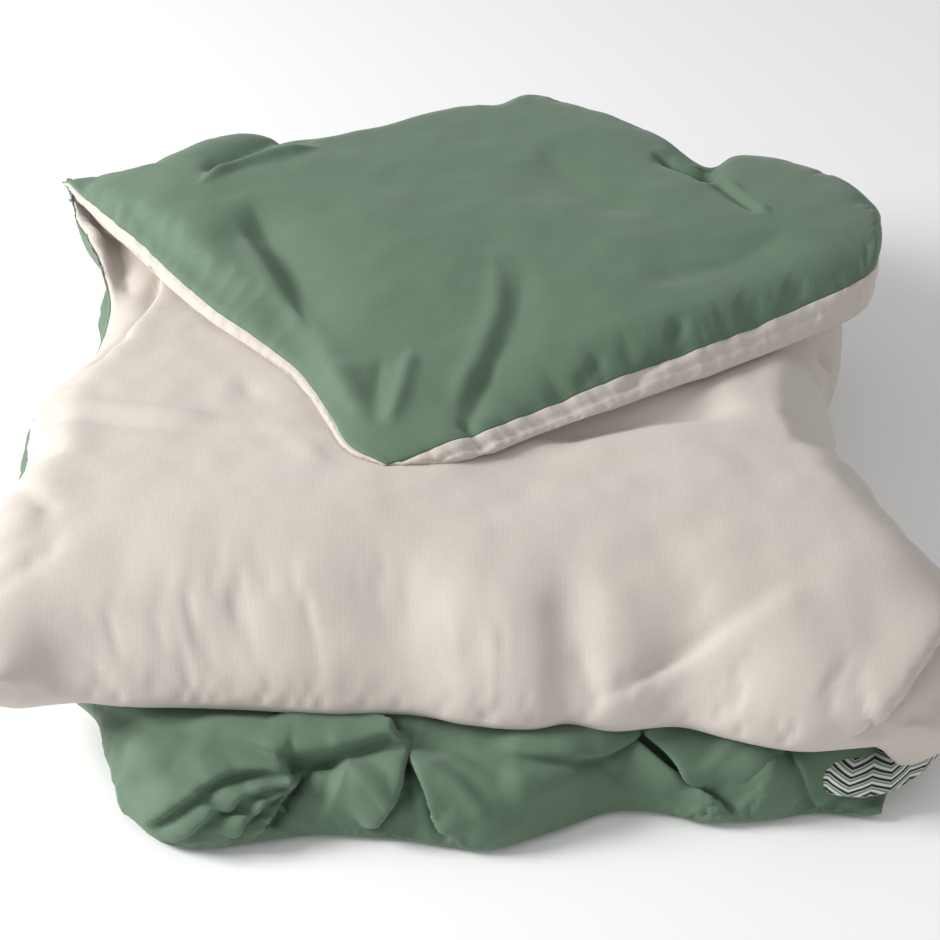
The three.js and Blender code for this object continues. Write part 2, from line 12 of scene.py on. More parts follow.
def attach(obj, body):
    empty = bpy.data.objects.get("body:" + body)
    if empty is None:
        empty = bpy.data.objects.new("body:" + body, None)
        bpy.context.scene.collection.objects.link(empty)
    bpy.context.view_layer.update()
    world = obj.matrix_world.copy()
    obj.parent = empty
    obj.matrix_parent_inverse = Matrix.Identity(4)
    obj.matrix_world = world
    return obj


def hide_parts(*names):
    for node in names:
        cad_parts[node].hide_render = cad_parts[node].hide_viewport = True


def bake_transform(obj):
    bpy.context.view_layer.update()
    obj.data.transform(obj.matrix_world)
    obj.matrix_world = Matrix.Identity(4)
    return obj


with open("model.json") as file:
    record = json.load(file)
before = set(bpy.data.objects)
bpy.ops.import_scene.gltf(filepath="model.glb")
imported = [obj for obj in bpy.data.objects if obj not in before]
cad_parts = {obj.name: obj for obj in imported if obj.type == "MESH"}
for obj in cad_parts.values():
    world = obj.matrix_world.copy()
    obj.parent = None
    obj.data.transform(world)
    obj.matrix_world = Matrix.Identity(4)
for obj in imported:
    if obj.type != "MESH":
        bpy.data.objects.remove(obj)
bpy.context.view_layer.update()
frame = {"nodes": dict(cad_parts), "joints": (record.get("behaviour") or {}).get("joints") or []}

# ---- Places, in metres ---------------------------------------------------------------
# Plans are drawn from a point on the bed in front of the middle of the diagonal fold.
HINGE = next(j for j in frame["joints"] if j["name"] == "corner_fold")
FOLD_MIDDLE = Vector(HINGE["pos_m"])
DATUM = Vector((FOLD_MIDDLE.x + 0.016, FOLD_MIDDLE.y - 0.475, 0))

LOWER_TOP = 0.090                # top of the lower half, before it is folded back on itself
TUCK_TOP = 0.163                 # top of the folded-back end
UPPER_TOP = 0.240                # top of the upper half
CLEAR = 0.003                    # air between two layers
LOWEST = 0.0006                  # the lowest that a pad's underside may reach

FINE = 190                       # grid lines between a pad's rounded edges
SLACK_ROWS = 52                  # grid rows of the lower cover's front end that hold no insert


def camera():
    """At the photograph's angle: square to the front, and looking down on the pile."""
    elevation, distance = math.radians(36), 2.8
    target = DATUM + Vector((0, 0, 0.13))
    away = Vector((0, -math.cos(elevation), math.sin(elevation)))
    data = bpy.data.cameras.new("camera")
    data.lens, data.sensor_width = 80, 36
    eye = bpy.data.objects.new("camera", data)
    eye.location = target + away * distance
    eye.rotation_euler = (-away).to_track_quat("-Z", "Y").to_euler()
    bpy.context.collection.objects.link(eye)
    bpy.context.scene.camera = eye


camera()


# ---- Small maths ---------------------------------------------------------------------
def smooth(t):
    t = np.clip(t, 0, 1)
    return t * t * (3 - 2 * t)


def curve(points, at):
    """A smooth line through given (position, value) pairs, read at an array of positions."""
    xs, ys = (np.array(column, float) for column in zip(*points))
    slopes = np.gradient(ys, xs)
    at = np.clip(at, xs[0], xs[-1])
    k = np.clip(np.searchsorted(xs, at) - 1, 0, len(xs) - 2)
    width = xs[k + 1] - xs[k]
    t = (at - xs[k]) / width
    h00, h10 = 2 * t**3 - 3 * t**2 + 1, t**3 - 2 * t**2 + t
    h01, h11 = 3 * t**2 - 2 * t**3, t**3 - t**2
    return h00 * ys[k] + h10 * width * slopes[k] + h01 * ys[k + 1] + h11 * width * slopes[k + 1]


def rounded(distance, length):
    """0 at an edge, 1 from one rounding length in, along a quarter circle."""
    return np.sqrt(1 - (1 - np.clip(distance / length, 0, 1)) ** 2)


def spaced(count, near, far, edge_count):
    """0 to 1, with the edge zones near and far spaced evenly along their rounding."""
    turn = np.linspace(0, math.pi / 2, edge_count)
    first = near * (1 - np.cos(turn))
    last = 1 - far * (1 - np.cos(turn[::-1]))
    middle = np.linspace(near, 1 - far, count)[1:-1]
    return np.concatenate([first, middle, last])


def wander(points, size, seed, octaves=3):
    """Soft noise from -1 to 1 at each point, with lumps of that size."""
    shift = Vector((seed * 3.1, seed * 1.7, seed * 0.9))
    return np.array([noise.fractal(Vector(p) / size + shift, 0.8, 2.1, octaves) for p in points])


# ---- Pads ----------------------------------------------------------------------------
class Pad:
    """A closed padded form on a grid: rows of an upper and a lower face that share their rim."""

    def __init__(self, x, y, high, low):
        rows, columns = x.shape
        self.shape = rows, columns
        count = rows * columns
        inside = np.zeros((rows, columns), bool)
        inside[1:-1, 1:-1] = True
        index = np.arange(count).reshape(rows, columns)
        under = index.copy()
        under[inside] = count + np.arange(inside.sum())
        self.over, self.under = index, under
        top = np.stack([x, y, high], -1).reshape(-1, 3)
        bottom = np.stack([x, y, low], -1)[inside]
        self.points = np.concatenate([top, bottom])
        rim = (~inside).reshape(-1)
        self.points[:count][rim, 2] = ((high + low) / 2).reshape(-1)[rim]
        self.faces = self.quads_of(index, False) + self.quads_of(under, True)

    @staticmethod
    def quads_of(grid, flip):
        a, b, c, d = grid[:-1, :-1], grid[:-1, 1:], grid[1:, 1:], grid[1:, :-1]
        order = (d, c, b, a) if flip else (a, b, c, d)
        return np.stack(order, -1).reshape(-1, 4).tolist()

    def both(self, top, bottom=None):
        """One value a point, from a grid of values for each face or one grid for both."""
        values = np.zeros(len(self.points))
        values[self.under.reshape(-1)] = (top if bottom is None else bottom).reshape(-1)
        values[self.over.reshape(-1)] = top.reshape(-1)
        return values

    def normals(self):
        quads = np.array(self.faces)
        p = self.points
        face = np.cross(p[quads[:, 2]] - p[quads[:, 0]], p[quads[:, 3]] - p[quads[:, 1]])
        total = np.zeros_like(p)
        for corner in range(4):
            np.add.at(total, quads[:, corner], face)
        return total / np.maximum(np.linalg.norm(total, axis=1, keepdims=True), 1e-12)


def make_mesh(name, points, faces, material, attributes=()):
    """A smooth-shaded piece, moved from the plans' own point to its place."""
    mesh = bpy.data.meshes.new(name)
    mesh.from_pydata((np.asarray(points) + np.array(DATUM)).tolist(), [], faces)
    for key, values in dict(attributes).items():
        mesh.attributes.new(key, "FLOAT", "POINT").data.foreach_set("value", np.asarray(values, float))
    mesh.shade_smooth()
    piece = bpy.data.objects.new(name, mesh)
    bpy.context.collection.objects.link(piece)
    mesh.materials.append(material)
    return piece


def nearest_on(points, path):
    """For each point: its distance and offset from a polyline, its direction, and how far along."""
    steps = np.linalg.norm(np.diff(path, axis=0), axis=1)
    share = np.concatenate([[0], np.cumsum(steps)]) / steps.sum()
    gap = np.full(len(points), np.inf)
    offset, direction, place = np.zeros((len(points), 3)), np.zeros((len(points), 3)), np.zeros(len(points))
    for k, (start, end) in enumerate(zip(path[:-1], path[1:])):
        t = np.clip((points - start) @ (end - start) / steps[k] ** 2, 0, 1)
        away = points - start - t[:, None] * (end - start)
        far = np.linalg.norm(away, axis=1)
        closer = far < gap
        gap = np.where(closer, far, gap)
        offset[closer] = away[closer]
        direction[closer] = (end - start) / steps[k]
        place = np.where(closer, share[k] + t * (share[k + 1] - share[k]), place)
    return gap, offset, direction, place


def softened(path, pieces=6):
    """A polyline's corners rounded, by reading a smooth line through it."""
    path = np.array(path, float)
    at = np.linspace(0, 1, (len(path) - 1) * pieces + 1)
    own = np.linspace(0, 1, len(path))
    return np.stack([curve(list(zip(own, path[:, axis])), at) for axis in range(3)], -1)


def creases(points, normals, lines):
    """How far each point is pushed out by folds. Each is (height, width, polyline[, ends]).

    A negative width marks a lap: the cloth right of the line stands proud, overhangs the line
    and falls away softly. Also gives that sideways shift."""
    total = np.zeros(len(points))
    shift = np.zeros((len(points), 3))
    for height, width, line, *ends in lines:
        path = softened(line)
        low, high = path.min(0) - 6 * abs(width), path.max(0) + 6 * abs(width)
        close = np.all((points > low) & (points < high), axis=1)
        gap, offset, direction, place = nearest_on(points[close], path)
        start, end = ends[0] if ends else (0.25, 0.25)
        taper = smooth((place + 0.02) / (start + 0.02)) * smooth((1.02 - place) / (end + 0.02))
        if width > 0:
            reach = width * (0.45 + 0.55 * taper)
            power = 2.0 if height > 0 else 1.35
            total[close] += height * taper * np.exp(-((gap / reach) ** power))
        else:
            right = -np.cross(normals[close], direction)
            side = np.sum(right * offset, axis=1) / -width
            proud = 0.5 + 0.5 * np.tanh(1.8 * side)
            rise = proud * np.exp(-((np.maximum(side, 0) / 4.5) ** 2))
            trough = (1 - proud) * np.exp(-((np.minimum(side + 0.6, 0) / 1.6) ** 2))
            near = taper * np.exp(-((gap / (-5.5 * width)) ** 2))
            total[close] += height * near * (rise - 0.8 * trough)
            shift[close] -= (1.1 * height * near * rise)[:, None] * right
    return total, shift


# ---- Materials -----------------------------------------------------------------------
class Nodes:
    """A short way to write a node material."""

    def __init__(self, name):
        self.material = bpy.data.materials.new(name)
        self.material.use_nodes = True
        self.tree = self.material.node_tree
        self.shader = self.tree.nodes["Principled BSDF"]

    def add(self, kind, *, inputs=None, **settings):
        node = self.tree.nodes.new(kind)
        for key, value in settings.items():
            setattr(node, key, value)
        for key, value in (inputs or {}).items():
            self.join(value, node.inputs[key])
        return node

    def join(self, value, socket):
        if isinstance(value, bpy.types.NodeSocket):
            self.tree.links.new(value, socket)
        else:
            socket.default_value = value

    def math(self, operation, *values):
        node = self.add("ShaderNodeMath", operation=operation)
        for value, socket in zip(values, node.inputs):
            self.join(value, socket)
        return node.outputs[0]

    def place(self):
        return self.add("ShaderNodeTexCoord").outputs["Object"]

    def noise(self, scale, detail=3.0, stretch=(1, 1, 1)):
        mapped = self.add("ShaderNodeMapping", inputs={"Vector": self.place(), "Scale": stretch})
        return self.add("ShaderNodeTexNoise", inputs={
            "Vector": mapped.outputs[0], "Scale": scale, "Detail": detail}).outputs["Fac"]

    def ramp(self, value, stops):
        node = self.add("ShaderNodeValToRGB", inputs={"Fac": value})
        points = node.color_ramp.elements
        while len(points) < len(stops):
            points.new(0.5)
        for point, (position, colour) in zip(points, stops):
            point.position, point.color = position, (*colour, 1)
        return node.outputs["Color"]

    def blend(self, amount, a, b, kind="MIX"):
        node = self.add("ShaderNodeMix", data_type="RGBA", blend_type=kind)
        self.join(amount, node.inputs["Factor"])
        self.join(a, node.inputs["A"])
        self.join(b, node.inputs["B"])
        return node.outputs["Result"]

    def bump(self, height, strength, distance, under=None):
        values = {"Height": height, "Strength": strength, "Distance": distance}
        if under is not None:
            values["Normal"] = under
        return self.add("ShaderNodeBump", inputs=values).outputs["Normal"]

    def finish(self, **values):
        for key, value in values.items():
            self.join(value, self.shader.inputs[key.replace("_", " ")])
        return self.material


GREEN_SHADES = ((0.096, 0.158, 0.101), (0.114, 0.182, 0.120))
BEIGE_SHADES = ((0.568, 0.512, 0.456), (0.620, 0.566, 0.516))
WAVE = 20                         # radians that Blender's wave texture turns for a Scale of 1
THREAD = 950.0                    # the weave, in radians a metre: a rib every 6.6 mm


def weave(nodes):
    """Crossing threads and slubs, as bump."""
    ways = [nodes.add("ShaderNodeTexWave", bands_direction=way, inputs={
        "Vector": nodes.place(), "Scale": THREAD / WAVE, "Distortion": 0.6,
        "Detail Scale": 3.0}).outputs["Fac"] for way in "XY"]
    threads = nodes.math("ADD", *ways)
    slubs = nodes.noise(240, 2.0, (1, 0.08, 1))
    fine = nodes.bump(threads, 0.15, 0.0002)
    return nodes.bump(slubs, 0.10, 0.0004, fine)


def cloth_colour(nodes, shades):
    """A dyed cloth's colour: faint patches, and thread-to-thread flecks."""
    patch = nodes.blend(nodes.noise(7, 4.0), (*shades[0], 1), (*shades[1], 1))
    fleck = nodes.ramp(nodes.noise(520, 2.0, (1, 0.2, 1)), [(0.35, (0.975,) * 3), (0.65, (1.02,) * 3)])
    return nodes.blend(1.0, patch, fleck, "MULTIPLY")


def two_tone_cotton():
    """The cover: green where the seam distance is positive and beige where it is negative."""
    nodes = Nodes("two_tone_cotton")
    seam = nodes.add("ShaderNodeAttribute", attribute_name="seam").outputs["Fac"]
    side = nodes.math("GREATER_THAN", seam, 0.0)
    colour = nodes.blend(side, cloth_colour(nodes, BEIGE_SHADES), cloth_colour(nodes, GREEN_SHADES))
    near = nodes.math("ABSOLUTE", seam)
    groove = nodes.math("SMOOTH_MIN", nodes.math("MULTIPLY", near, 400.0), 1.0, 0.5)
    stitched = nodes.bump(groove, 0.6, 0.002, weave(nodes))
    return nodes.finish(Base_Color=colour, Roughness=0.72, Sheen_Weight=0.18, Sheen_Roughness=0.5,
                        Normal=stitched, Specular_IOR_Level=0.35)


def plain_cotton(name, shades):
    nodes = Nodes(name)
    return nodes.finish(Base_Color=cloth_colour(nodes, shades), Roughness=0.74, Sheen_Weight=0.18,
                        Sheen_Roughness=0.5, Normal=weave(nodes), Specular_IOR_Level=0.35)


CHEVRON, CHEVRON_SLOPE = 0.026, 0.55          # half the width of one, and its slope
STRIPE, RIB = 0.0130, 0.0021                  # one repeat of the colours, and of the ribs


def herringbone():
    """Ticking woven in chevrons of black, white and sage threads."""
    nodes = Nodes("herringbone_ticking")
    across = nodes.add("ShaderNodeAttribute", attribute_name="across").outputs["Fac"]
    along = nodes.add("ShaderNodeAttribute", attribute_name="along").outputs["Fac"]
    column = nodes.math("PINGPONG", along, CHEVRON)
    zigzag = nodes.math("ADD", across, nodes.math("MULTIPLY", column, CHEVRON_SLOPE))
    wobble = nodes.math("MULTIPLY", nodes.noise(60, 2.0), 0.002)
    stripe = nodes.math("FRACT", nodes.math("DIVIDE", nodes.math("ADD", zigzag, wobble), STRIPE))
    colour = nodes.ramp(stripe, [
        (0.0, (0.012, 0.018, 0.022)), (0.30, (0.012, 0.018, 0.022)), (0.38, (0.66, 0.67, 0.62)),
        (0.60, (0.70, 0.70, 0.66)), (0.68, (0.16, 0.24, 0.19)), (0.86, (0.16, 0.24, 0.19)),
        (0.93, (0.60, 0.61, 0.56))])
    ribs = nodes.math("FRACT", nodes.math("DIVIDE", zigzag, RIB))
    bump = nodes.bump(nodes.math("PINGPONG", ribs, 0.5), 0.5, 0.0008)
    return nodes.finish(Base_Color=colour, Roughness=0.85, Normal=bump, Sheen_Weight=0.1)


def fibre():
    nodes = Nodes("fibre_wadding")
    colour = nodes.blend(nodes.noise(60, 5.0), (0.80, 0.79, 0.75, 1), (0.90, 0.89, 0.86, 1))
    bump = nodes.bump(nodes.noise(90, 8.0), 0.8, 0.004)
    return nodes.finish(Base_Color=colour, Roughness=0.95, Normal=bump, Sheen_Weight=0.3)


def zip_nylon(name, shade, rib):
    """Ribbed nylon, with its ribs in radians a metre."""
    nodes = Nodes(name)
    ribs = nodes.add("ShaderNodeTexWave", bands_direction="X", inputs={
        "Vector": nodes.place(), "Scale": rib / WAVE}).outputs["Fac"]
    colour = nodes.blend(nodes.noise(300), (*(c * 0.9 for c in shade), 1), (*shade, 1))
    return nodes.finish(Base_Color=colour, Roughness=0.6, Normal=nodes.bump(ribs, 0.6, 0.0005))


def cast_metal():
    nodes = Nodes("cast_metal")
    rough = nodes.math("ADD", nodes.math("MULTIPLY", nodes.noise(700), 0.2), 0.25)
    bump = nodes.bump(nodes.noise(900), 0.15, 0.0002)
    return nodes.finish(Base_Color=(0.58, 0.59, 0.60, 1), Metallic=1.0, Roughness=rough, Normal=bump)


COVER = two_tone_cotton()
TAPE = plain_cotton("cotton_tape", ((0.74, 0.71, 0.66), (0.80, 0.77, 0.72)))
TICKING = herringbone()
FIBRE = fibre()
ZIP_TAPE = zip_nylon("zip_tape_weave", (0.62, 0.56, 0.50), 2600)
ZIP_TEETH = zip_nylon("zip_coil", (0.58, 0.53, 0.47), 1100)
METAL = cast_metal()


# ---- Outlines: (y, x) down the sides, (x, y) along front and back, (share, x, y) on the corner
LEFT_SIDE = [(-0.47, -0.57), (-0.38, -0.616), (-0.3, -0.626), (-0.2, -0.61), (-0.1, -0.588),
             (-0.02, -0.592), (0.06, -0.584), (0.13, -0.556), (0.2, -0.53), (0.29, -0.52),
             (0.38, -0.548), (0.46, -0.582), (0.58, -0.618)]
RIGHT_SIDE = [(-0.5, 0.56), (-0.42, 0.602), (-0.33, 0.604), (-0.26, 0.574), (-0.19, 0.548),
              (-0.12, 0.534), (-0.05, 0.508), (0.02, 0.502), (0.09, 0.508), (0.14, 0.5), (0.2, 0.51),
              (0.28, 0.536), (0.36, 0.545), (0.45, 0.535)]
FRONT_LIP = [(-0.62, -0.462), (-0.55, -0.448), (-0.47, -0.43), (-0.38, -0.436), (-0.27, -0.442),
             (-0.17, -0.45), (-0.06, -0.452), (0.0, -0.467), (0.08, -0.474), (0.11, -0.466),
             (0.16, -0.478), (0.25, -0.472), (0.3, -0.491), (0.38, -0.512), (0.45, -0.506),
             (0.54, -0.492), (0.62, -0.48)]
LOWER_LEFT = [(-0.6, -0.372), (-0.53, -0.4), (-0.45, -0.435), (-0.38, -0.462), (-0.31, -0.52),
              (-0.22, -0.596), (-0.02, -0.592), (0.1, -0.572), (0.2, -0.54), (0.3, -0.535),
              (0.42, -0.56), (0.6, -0.59)]
LOWER_RIGHT = [(-0.56, 0.47), (-0.5, 0.488), (-0.44, 0.5), (-0.3, 0.52), (-0.1, 0.47), (0.2, 0.455),
               (0.32, 0.47), (0.45, 0.53), (0.6, 0.5)]
APRON_HEM = [(-0.6, -0.5), (-0.41, -0.52), (-0.36, -0.566), (-0.3, -0.576), (-0.26, -0.569),
             (-0.18, -0.554), (-0.09, -0.56), (0.03, -0.574), (0.1, -0.548), (0.17, -0.517),
             (0.22, -0.517), (0.27, -0.528), (0.33, -0.532), (0.41, -0.519), (0.48, -0.524), (0.55, -0.5)]
BACK = [(-0.62, 0.572), (-0.53, 0.592), (-0.42, 0.634), (-0.34, 0.652), (-0.27, 0.63), (-0.19, 0.66),
        (-0.08, 0.722), (0.01, 0.738), (0.06, 0.774), (0.12, 0.764), (0.2, 0.732), (0.27, 0.682),
        (0.3, 0.648), (0.36, 0.57), (0.43, 0.578), (0.5, 0.562), (0.56, 0.52), (0.59, 0.48), (0.612, 0.4)]
CORNER_LEFT = [(0.0, -0.106, -0.17), (0.06, -0.15, -0.138), (0.14, -0.186, -0.068),
               (0.22, -0.225, 0.01), (0.35, -0.288, 0.092), (0.5, -0.378, 0.195), (0.7, -0.485, 0.35),
               (1.0, -0.624, 0.574)]
CORNER_RIGHT = [(0.0, -0.106, -0.17), (0.14, 0.0, -0.156), (0.28, 0.1, -0.098), (0.46, 0.24, -0.012),
                (0.56, 0.32, 0.034), (0.72, 0.44, 0.112), (0.83, 0.52, 0.172), (0.92, 0.554, 0.216),
                (1.0, 0.574, 0.288)]
BACK_RIGHT = [(0.0, 0.574, 0.288), (0.1, 0.592, 0.36), (0.2, 0.594, 0.43), (0.28, 0.57, 0.492),
              (0.38, 0.5, 0.552), (0.48, 0.43, 0.576), (0.58, 0.362, 0.572), (0.68, 0.305, 0.645),
              (0.8, 0.2, 0.728), (0.9, 0.125, 0.76), (1.0, 0.06, 0.77)]
EAR, SHOULDER, APEX = (-0.624, 0.574), (0.592, 0.392), (0.060, 0.770)
ZIP_LINE = [(-0.36, -0.4075), (0.33, -0.4390)]


def fold_y(x):
    """The diagonal fold's line."""
    return EAR[1] + (SHOULDER[1] - EAR[1]) * (x - EAR[0]) / (SHOULDER[0] - EAR[0])


def beside(a, b, u):
    return a + (b - a) * u


def box_plan(us, vs, left, right, front, back):
    """Grids of x and y inside four curved sides: left and right are x by y, the others y by x."""
    u, v = np.meshgrid(us, vs)
    x = beside(-0.6, 0.58, u)
    for _ in range(3):
        y = beside(front(x), back(x), v)
        x = beside(left(y), right(y), u)
    return u, v, x, y


# ---- Upper half ----------------------------------------------------------------------
def upper_half():
    """Beige side up. It stops under the fold, and at the front it is tucked under itself."""
    width, depth = 1.2, 1.0
    front_rim, side_rim, ear_rim = 0.120, 0.160, 0.253
    turn_height, hollow_top = 0.160, 0.123       # where the cover turns under, and the zip's hollow
    us = spaced(FINE, 0.10 / width, 0.12 / width, 18)
    vs = spaced(FINE, 0.19, 0.06, 22)
    u, v, x, y = box_plan(us, vs, lambda y: curve(LEFT_SIDE, y), lambda y: curve(RIGHT_SIDE, y),
                          lambda x: curve(FRONT_LIP, x) - 0.006, lambda x: fold_y(x) + 0.02)
    from_left, from_right = u * width, (1 - u) * width
    from_front, from_back = v * depth, (1 - v) * depth
    near_left = smooth(1 - from_left / 0.12)
    near_right = smooth(1 - from_right / 0.12)
    over_tuck = smooth((y + 0.11) / 0.06)
    floor = beside(LOWER_TOP + CLEAR, TUCK_TOP + CLEAR, over_tuck)
    floor = beside(floor, 0.050 - 0.044 * smooth((y + 0.40) / 0.15), smooth((0.10 - from_right) / 0.04))
    ear_lift = smooth((y - 0.10) / 0.30)
    rim = beside(front_rim, beside(side_rim, ear_rim, ear_lift), near_left)
    rim = beside(rim, front_rim, near_right)
    crown = UPPER_TOP + 0.008 * np.sin(np.clip((y + 0.35) / 0.4, 0, 1) * math.pi)
    crown = crown - 0.012 * ear_lift * smooth(1 - from_left / 0.35) - 0.010 * smooth((-0.20 - y) / 0.2)
    crown = np.maximum(crown, rim + 0.001)
    rise = rounded(from_left, 0.10) * rounded(from_right, 0.12) * rounded(from_front, 0.21)
    fall = rounded(from_front, 0.024) * rounded(from_left, 0.07) * rounded(from_right, 0.07)
    back = rounded(from_back, 0.05)
    high = rim + (crown - rim) * rise * back
    low = rim - (rim - floor) * fall * back
    across_zip = y - beside(ZIP_LINE[0][1], ZIP_LINE[1][1], (x - ZIP_LINE[0][0]) / 0.69)
    hollow = smooth((0.020 - abs(across_zip)) / 0.010) * smooth((0.36 - abs(x + 0.015)) / 0.03)
    low = np.where(low < hollow_top, beside(low, hollow_top, hollow), low)
    pad = Pad(x, y, high, low)
    height = pad.points[:, 2]
    layered = 0.030 * smooth((pad.points[:, 1] + 0.34) / 0.06) - abs(height - turn_height)
    layered = np.minimum(layered, 0.045 - pad.both(from_left))
    under = pad.both(0.003 - from_left, 0.003 + from_left)
    lifted = smooth((ear_lift - 0.15) / 0.2)
    side = beside(layered, under, pad.both(lifted))
    side = np.maximum(side, 0.030 - pad.both(from_back))
    side = np.minimum(side, pad.both(from_right) - 0.15)
    return pad, side


# ---- Lower half ----------------------------------------------------------------------
def lower_half():
    """Green side up. Its slack front end lies on the bed, and its far end is folded back on it."""
    us = spaced(FINE + 70, 0.07, 0.06, 16)
    vs = spaced(FINE, 0.07, 0.07, 24)
    vs = np.where(vs < 0.5, vs - 0.11 * np.sin(vs * 2 * math.pi), vs)
    u, v, x, y = box_plan(us, vs, lambda y: curve(LOWER_LEFT, y), lambda y: curve(LOWER_RIGHT, y),
                          lambda x: curve(APRON_HEM, x), lambda x: curve(BACK, x) - 0.030)
    left_span, right_span, depth = 1.15, 1.1, 1.25
    from_left, from_right = u * left_span, (1 - u) * right_span
    from_front, from_back = v * depth, (1 - v) * depth
    under_lip = smooth((y - curve(FRONT_LIP, x) + 0.01) / 0.06)
    slack = 0.078 - 0.048 * smooth((x - 0.33) / 0.10)
    top = beside(slack, LOWER_TOP, under_lip)
    top = beside(top, TUCK_TOP, smooth((y + 0.045) / 0.05))
    open_top = rounded(from_left, 0.08) * rounded(from_right, 0.05) \
        * rounded(from_front, 0.10) * rounded(from_back, 0.08)
    rim = beside(0.5 * top, 0.014, smooth(1 - from_front / 0.14))
    closed = rounded(from_front, 0.02) * rounded(from_left, 0.04) * rounded(from_right, 0.04) \
        * rounded(from_back, 0.07)
    high = rim + (top - rim) * open_top
    underside = 0.0005
    low = np.maximum(rim - (rim - underside) * closed, underside)
    pad = Pad(x, y, high, low)
    height = pad.points[:, 2]
    edge = np.minimum(from_left, from_front)
    flat = np.clip(pad.both(edge + 0.02, 0.02 - edge), -0.05, 0.05)
    rising = 0.045 + 0.125 * smooth((0.25 - from_back) / 0.20)
    folded = np.minimum(height - pad.both(rising), 0.045 - pad.both(from_left))
    tucked = smooth(y / 0.05)
    return pad, beside(flat, folded, pad.both(tucked))


# ---- Turned corner and back fold -----------------------------------------------------
def line_of(places, at):
    """Points of an outline given as (share of its length, x, y)."""
    x = curve([(p[0], p[1]) for p in places], at)
    y = curve([(p[0], p[2]) for p in places], at)
    return np.stack([x, y], -1)


def back_left(at):
    """Points along the rounded back, from the fold's left end to the furthest point."""
    x = EAR[0] + (APEX[0] - EAR[0]) * at
    return np.stack([x, curve(BACK, x)], -1)


def coons(us, vs, front, back, left, right):
    """A grid of points inside four sides. front and back run along u, left and right along v."""
    f, b, l, r = front(us), back(us), left(vs), right(vs)
    u, v = np.meshgrid(us, vs)
    u, v = u[..., None], v[..., None]
    corners = (1 - u) * (1 - v) * f[0] + u * (1 - v) * f[-1] + (1 - u) * v * b[0] + u * v * b[-1]
    return (1 - v) * f[None] + v * b[None] + (1 - u) * l[:, None] + u * r[:, None] - corners


CROWN = [(-0.22, 0.03), (-0.1, 0.04), (0.02, 0.059), (0.15, 0.073), (0.3, 0.082), (0.45, 0.086),
         (0.6, 0.088), (0.9, 0.088)]


def turned_corner():
    """Green side up, lying on the upper half. Its fold rolls over the back of the pile."""
    us = spaced(FINE, 0.08, 0.10, 18)
    vs = spaced(FINE, 0.10, 0.10, 18)
    plan = coons(us, vs, lambda a: line_of(CORNER_RIGHT, a), back_left,
                 lambda a: line_of(CORNER_LEFT, a), lambda a: line_of(BACK_RIGHT, a))
    x, y = plan[..., 0], plan[..., 1]
    u, v = np.meshgrid(us, vs)
    leg, back = 0.88, 0.72               # lengths of its front edges and of the rounded back
    from_left, from_right = u * leg, v * leg
    from_back = np.minimum(1 - u, 1 - v) * back
    behind = y - fold_y(x)
    floor = beside(UPPER_TOP + 0.010, TUCK_TOP + CLEAR, smooth((behind - 0.035) / 0.05))
    crown = UPPER_TOP + curve(CROWN, (x - APEX[0]) * 0.10 + y)
    near_left = smooth(1 - from_left / 0.10)
    near_back = smooth(1 - from_back / 0.12) * smooth(behind / 0.10 + 0.3)
    rim = beside(0.264, 0.262, near_left)
    rim = beside(rim, 0.236, near_back)
    crown = beside(crown, rim + 0.012, smooth(1 - np.hypot(x - EAR[0], y - EAR[1]) / 0.26) * 0.9)
    from_shoulder, from_ear = (1 - u) * back, (1 - v) * back
    rise = 0.45 * rounded(from_left, 0.05) + 0.55 * rounded(from_left, 0.30)
    rise = rise * rounded(from_right, 0.12 - 0.06 * smooth((u - 0.8) / 0.2)) \
        * rounded(from_shoulder, 0.05) * rounded(from_ear, 0.09)
    fall = rounded(from_left, 0.05) * rounded(from_right, 0.06) \
        * rounded(from_shoulder, 0.07) * rounded(from_ear, 0.07)
    high = rim + (crown - rim) * rise
    low = rim - (rim - floor) * fall
    pad = Pad(x, y, high, low)
    band = 0.027 * smooth(u / 0.15) * (1 - 0.45 * smooth((u - 0.85) / 0.15))
    top_seam = np.minimum(from_right - band, from_left - 0.004)
    top_seam = np.where(behind > 0.03, abs(top_seam) + 0.001, top_seam)
    under_seam = behind - 0.02 + 0.8 * np.maximum(0.07 - np.minimum(from_right, from_left), 0)
    return pad, pad.both(top_seam, under_seam)


# ---- Loose fabric --------------------------------------------------------------------
def resampled(grid, rows, columns, shape):
    """A coarse grid of vectors, read smoothly at every line of the fine grid."""
    tall = np.stack([[np.interp(np.arange(shape[0]), rows, grid[:, c, k])
                      for c in range(grid.shape[1])] for k in range(3)], -1)
    tall = tall.transpose(1, 0, 2)
    return np.stack([[np.interp(np.arange(shape[1]), columns, tall[r, :, k])
                      for r in range(shape[0])] for k in range(3)], -1)


FRAMES = 14                      # simulated steps, after which the cap takes over


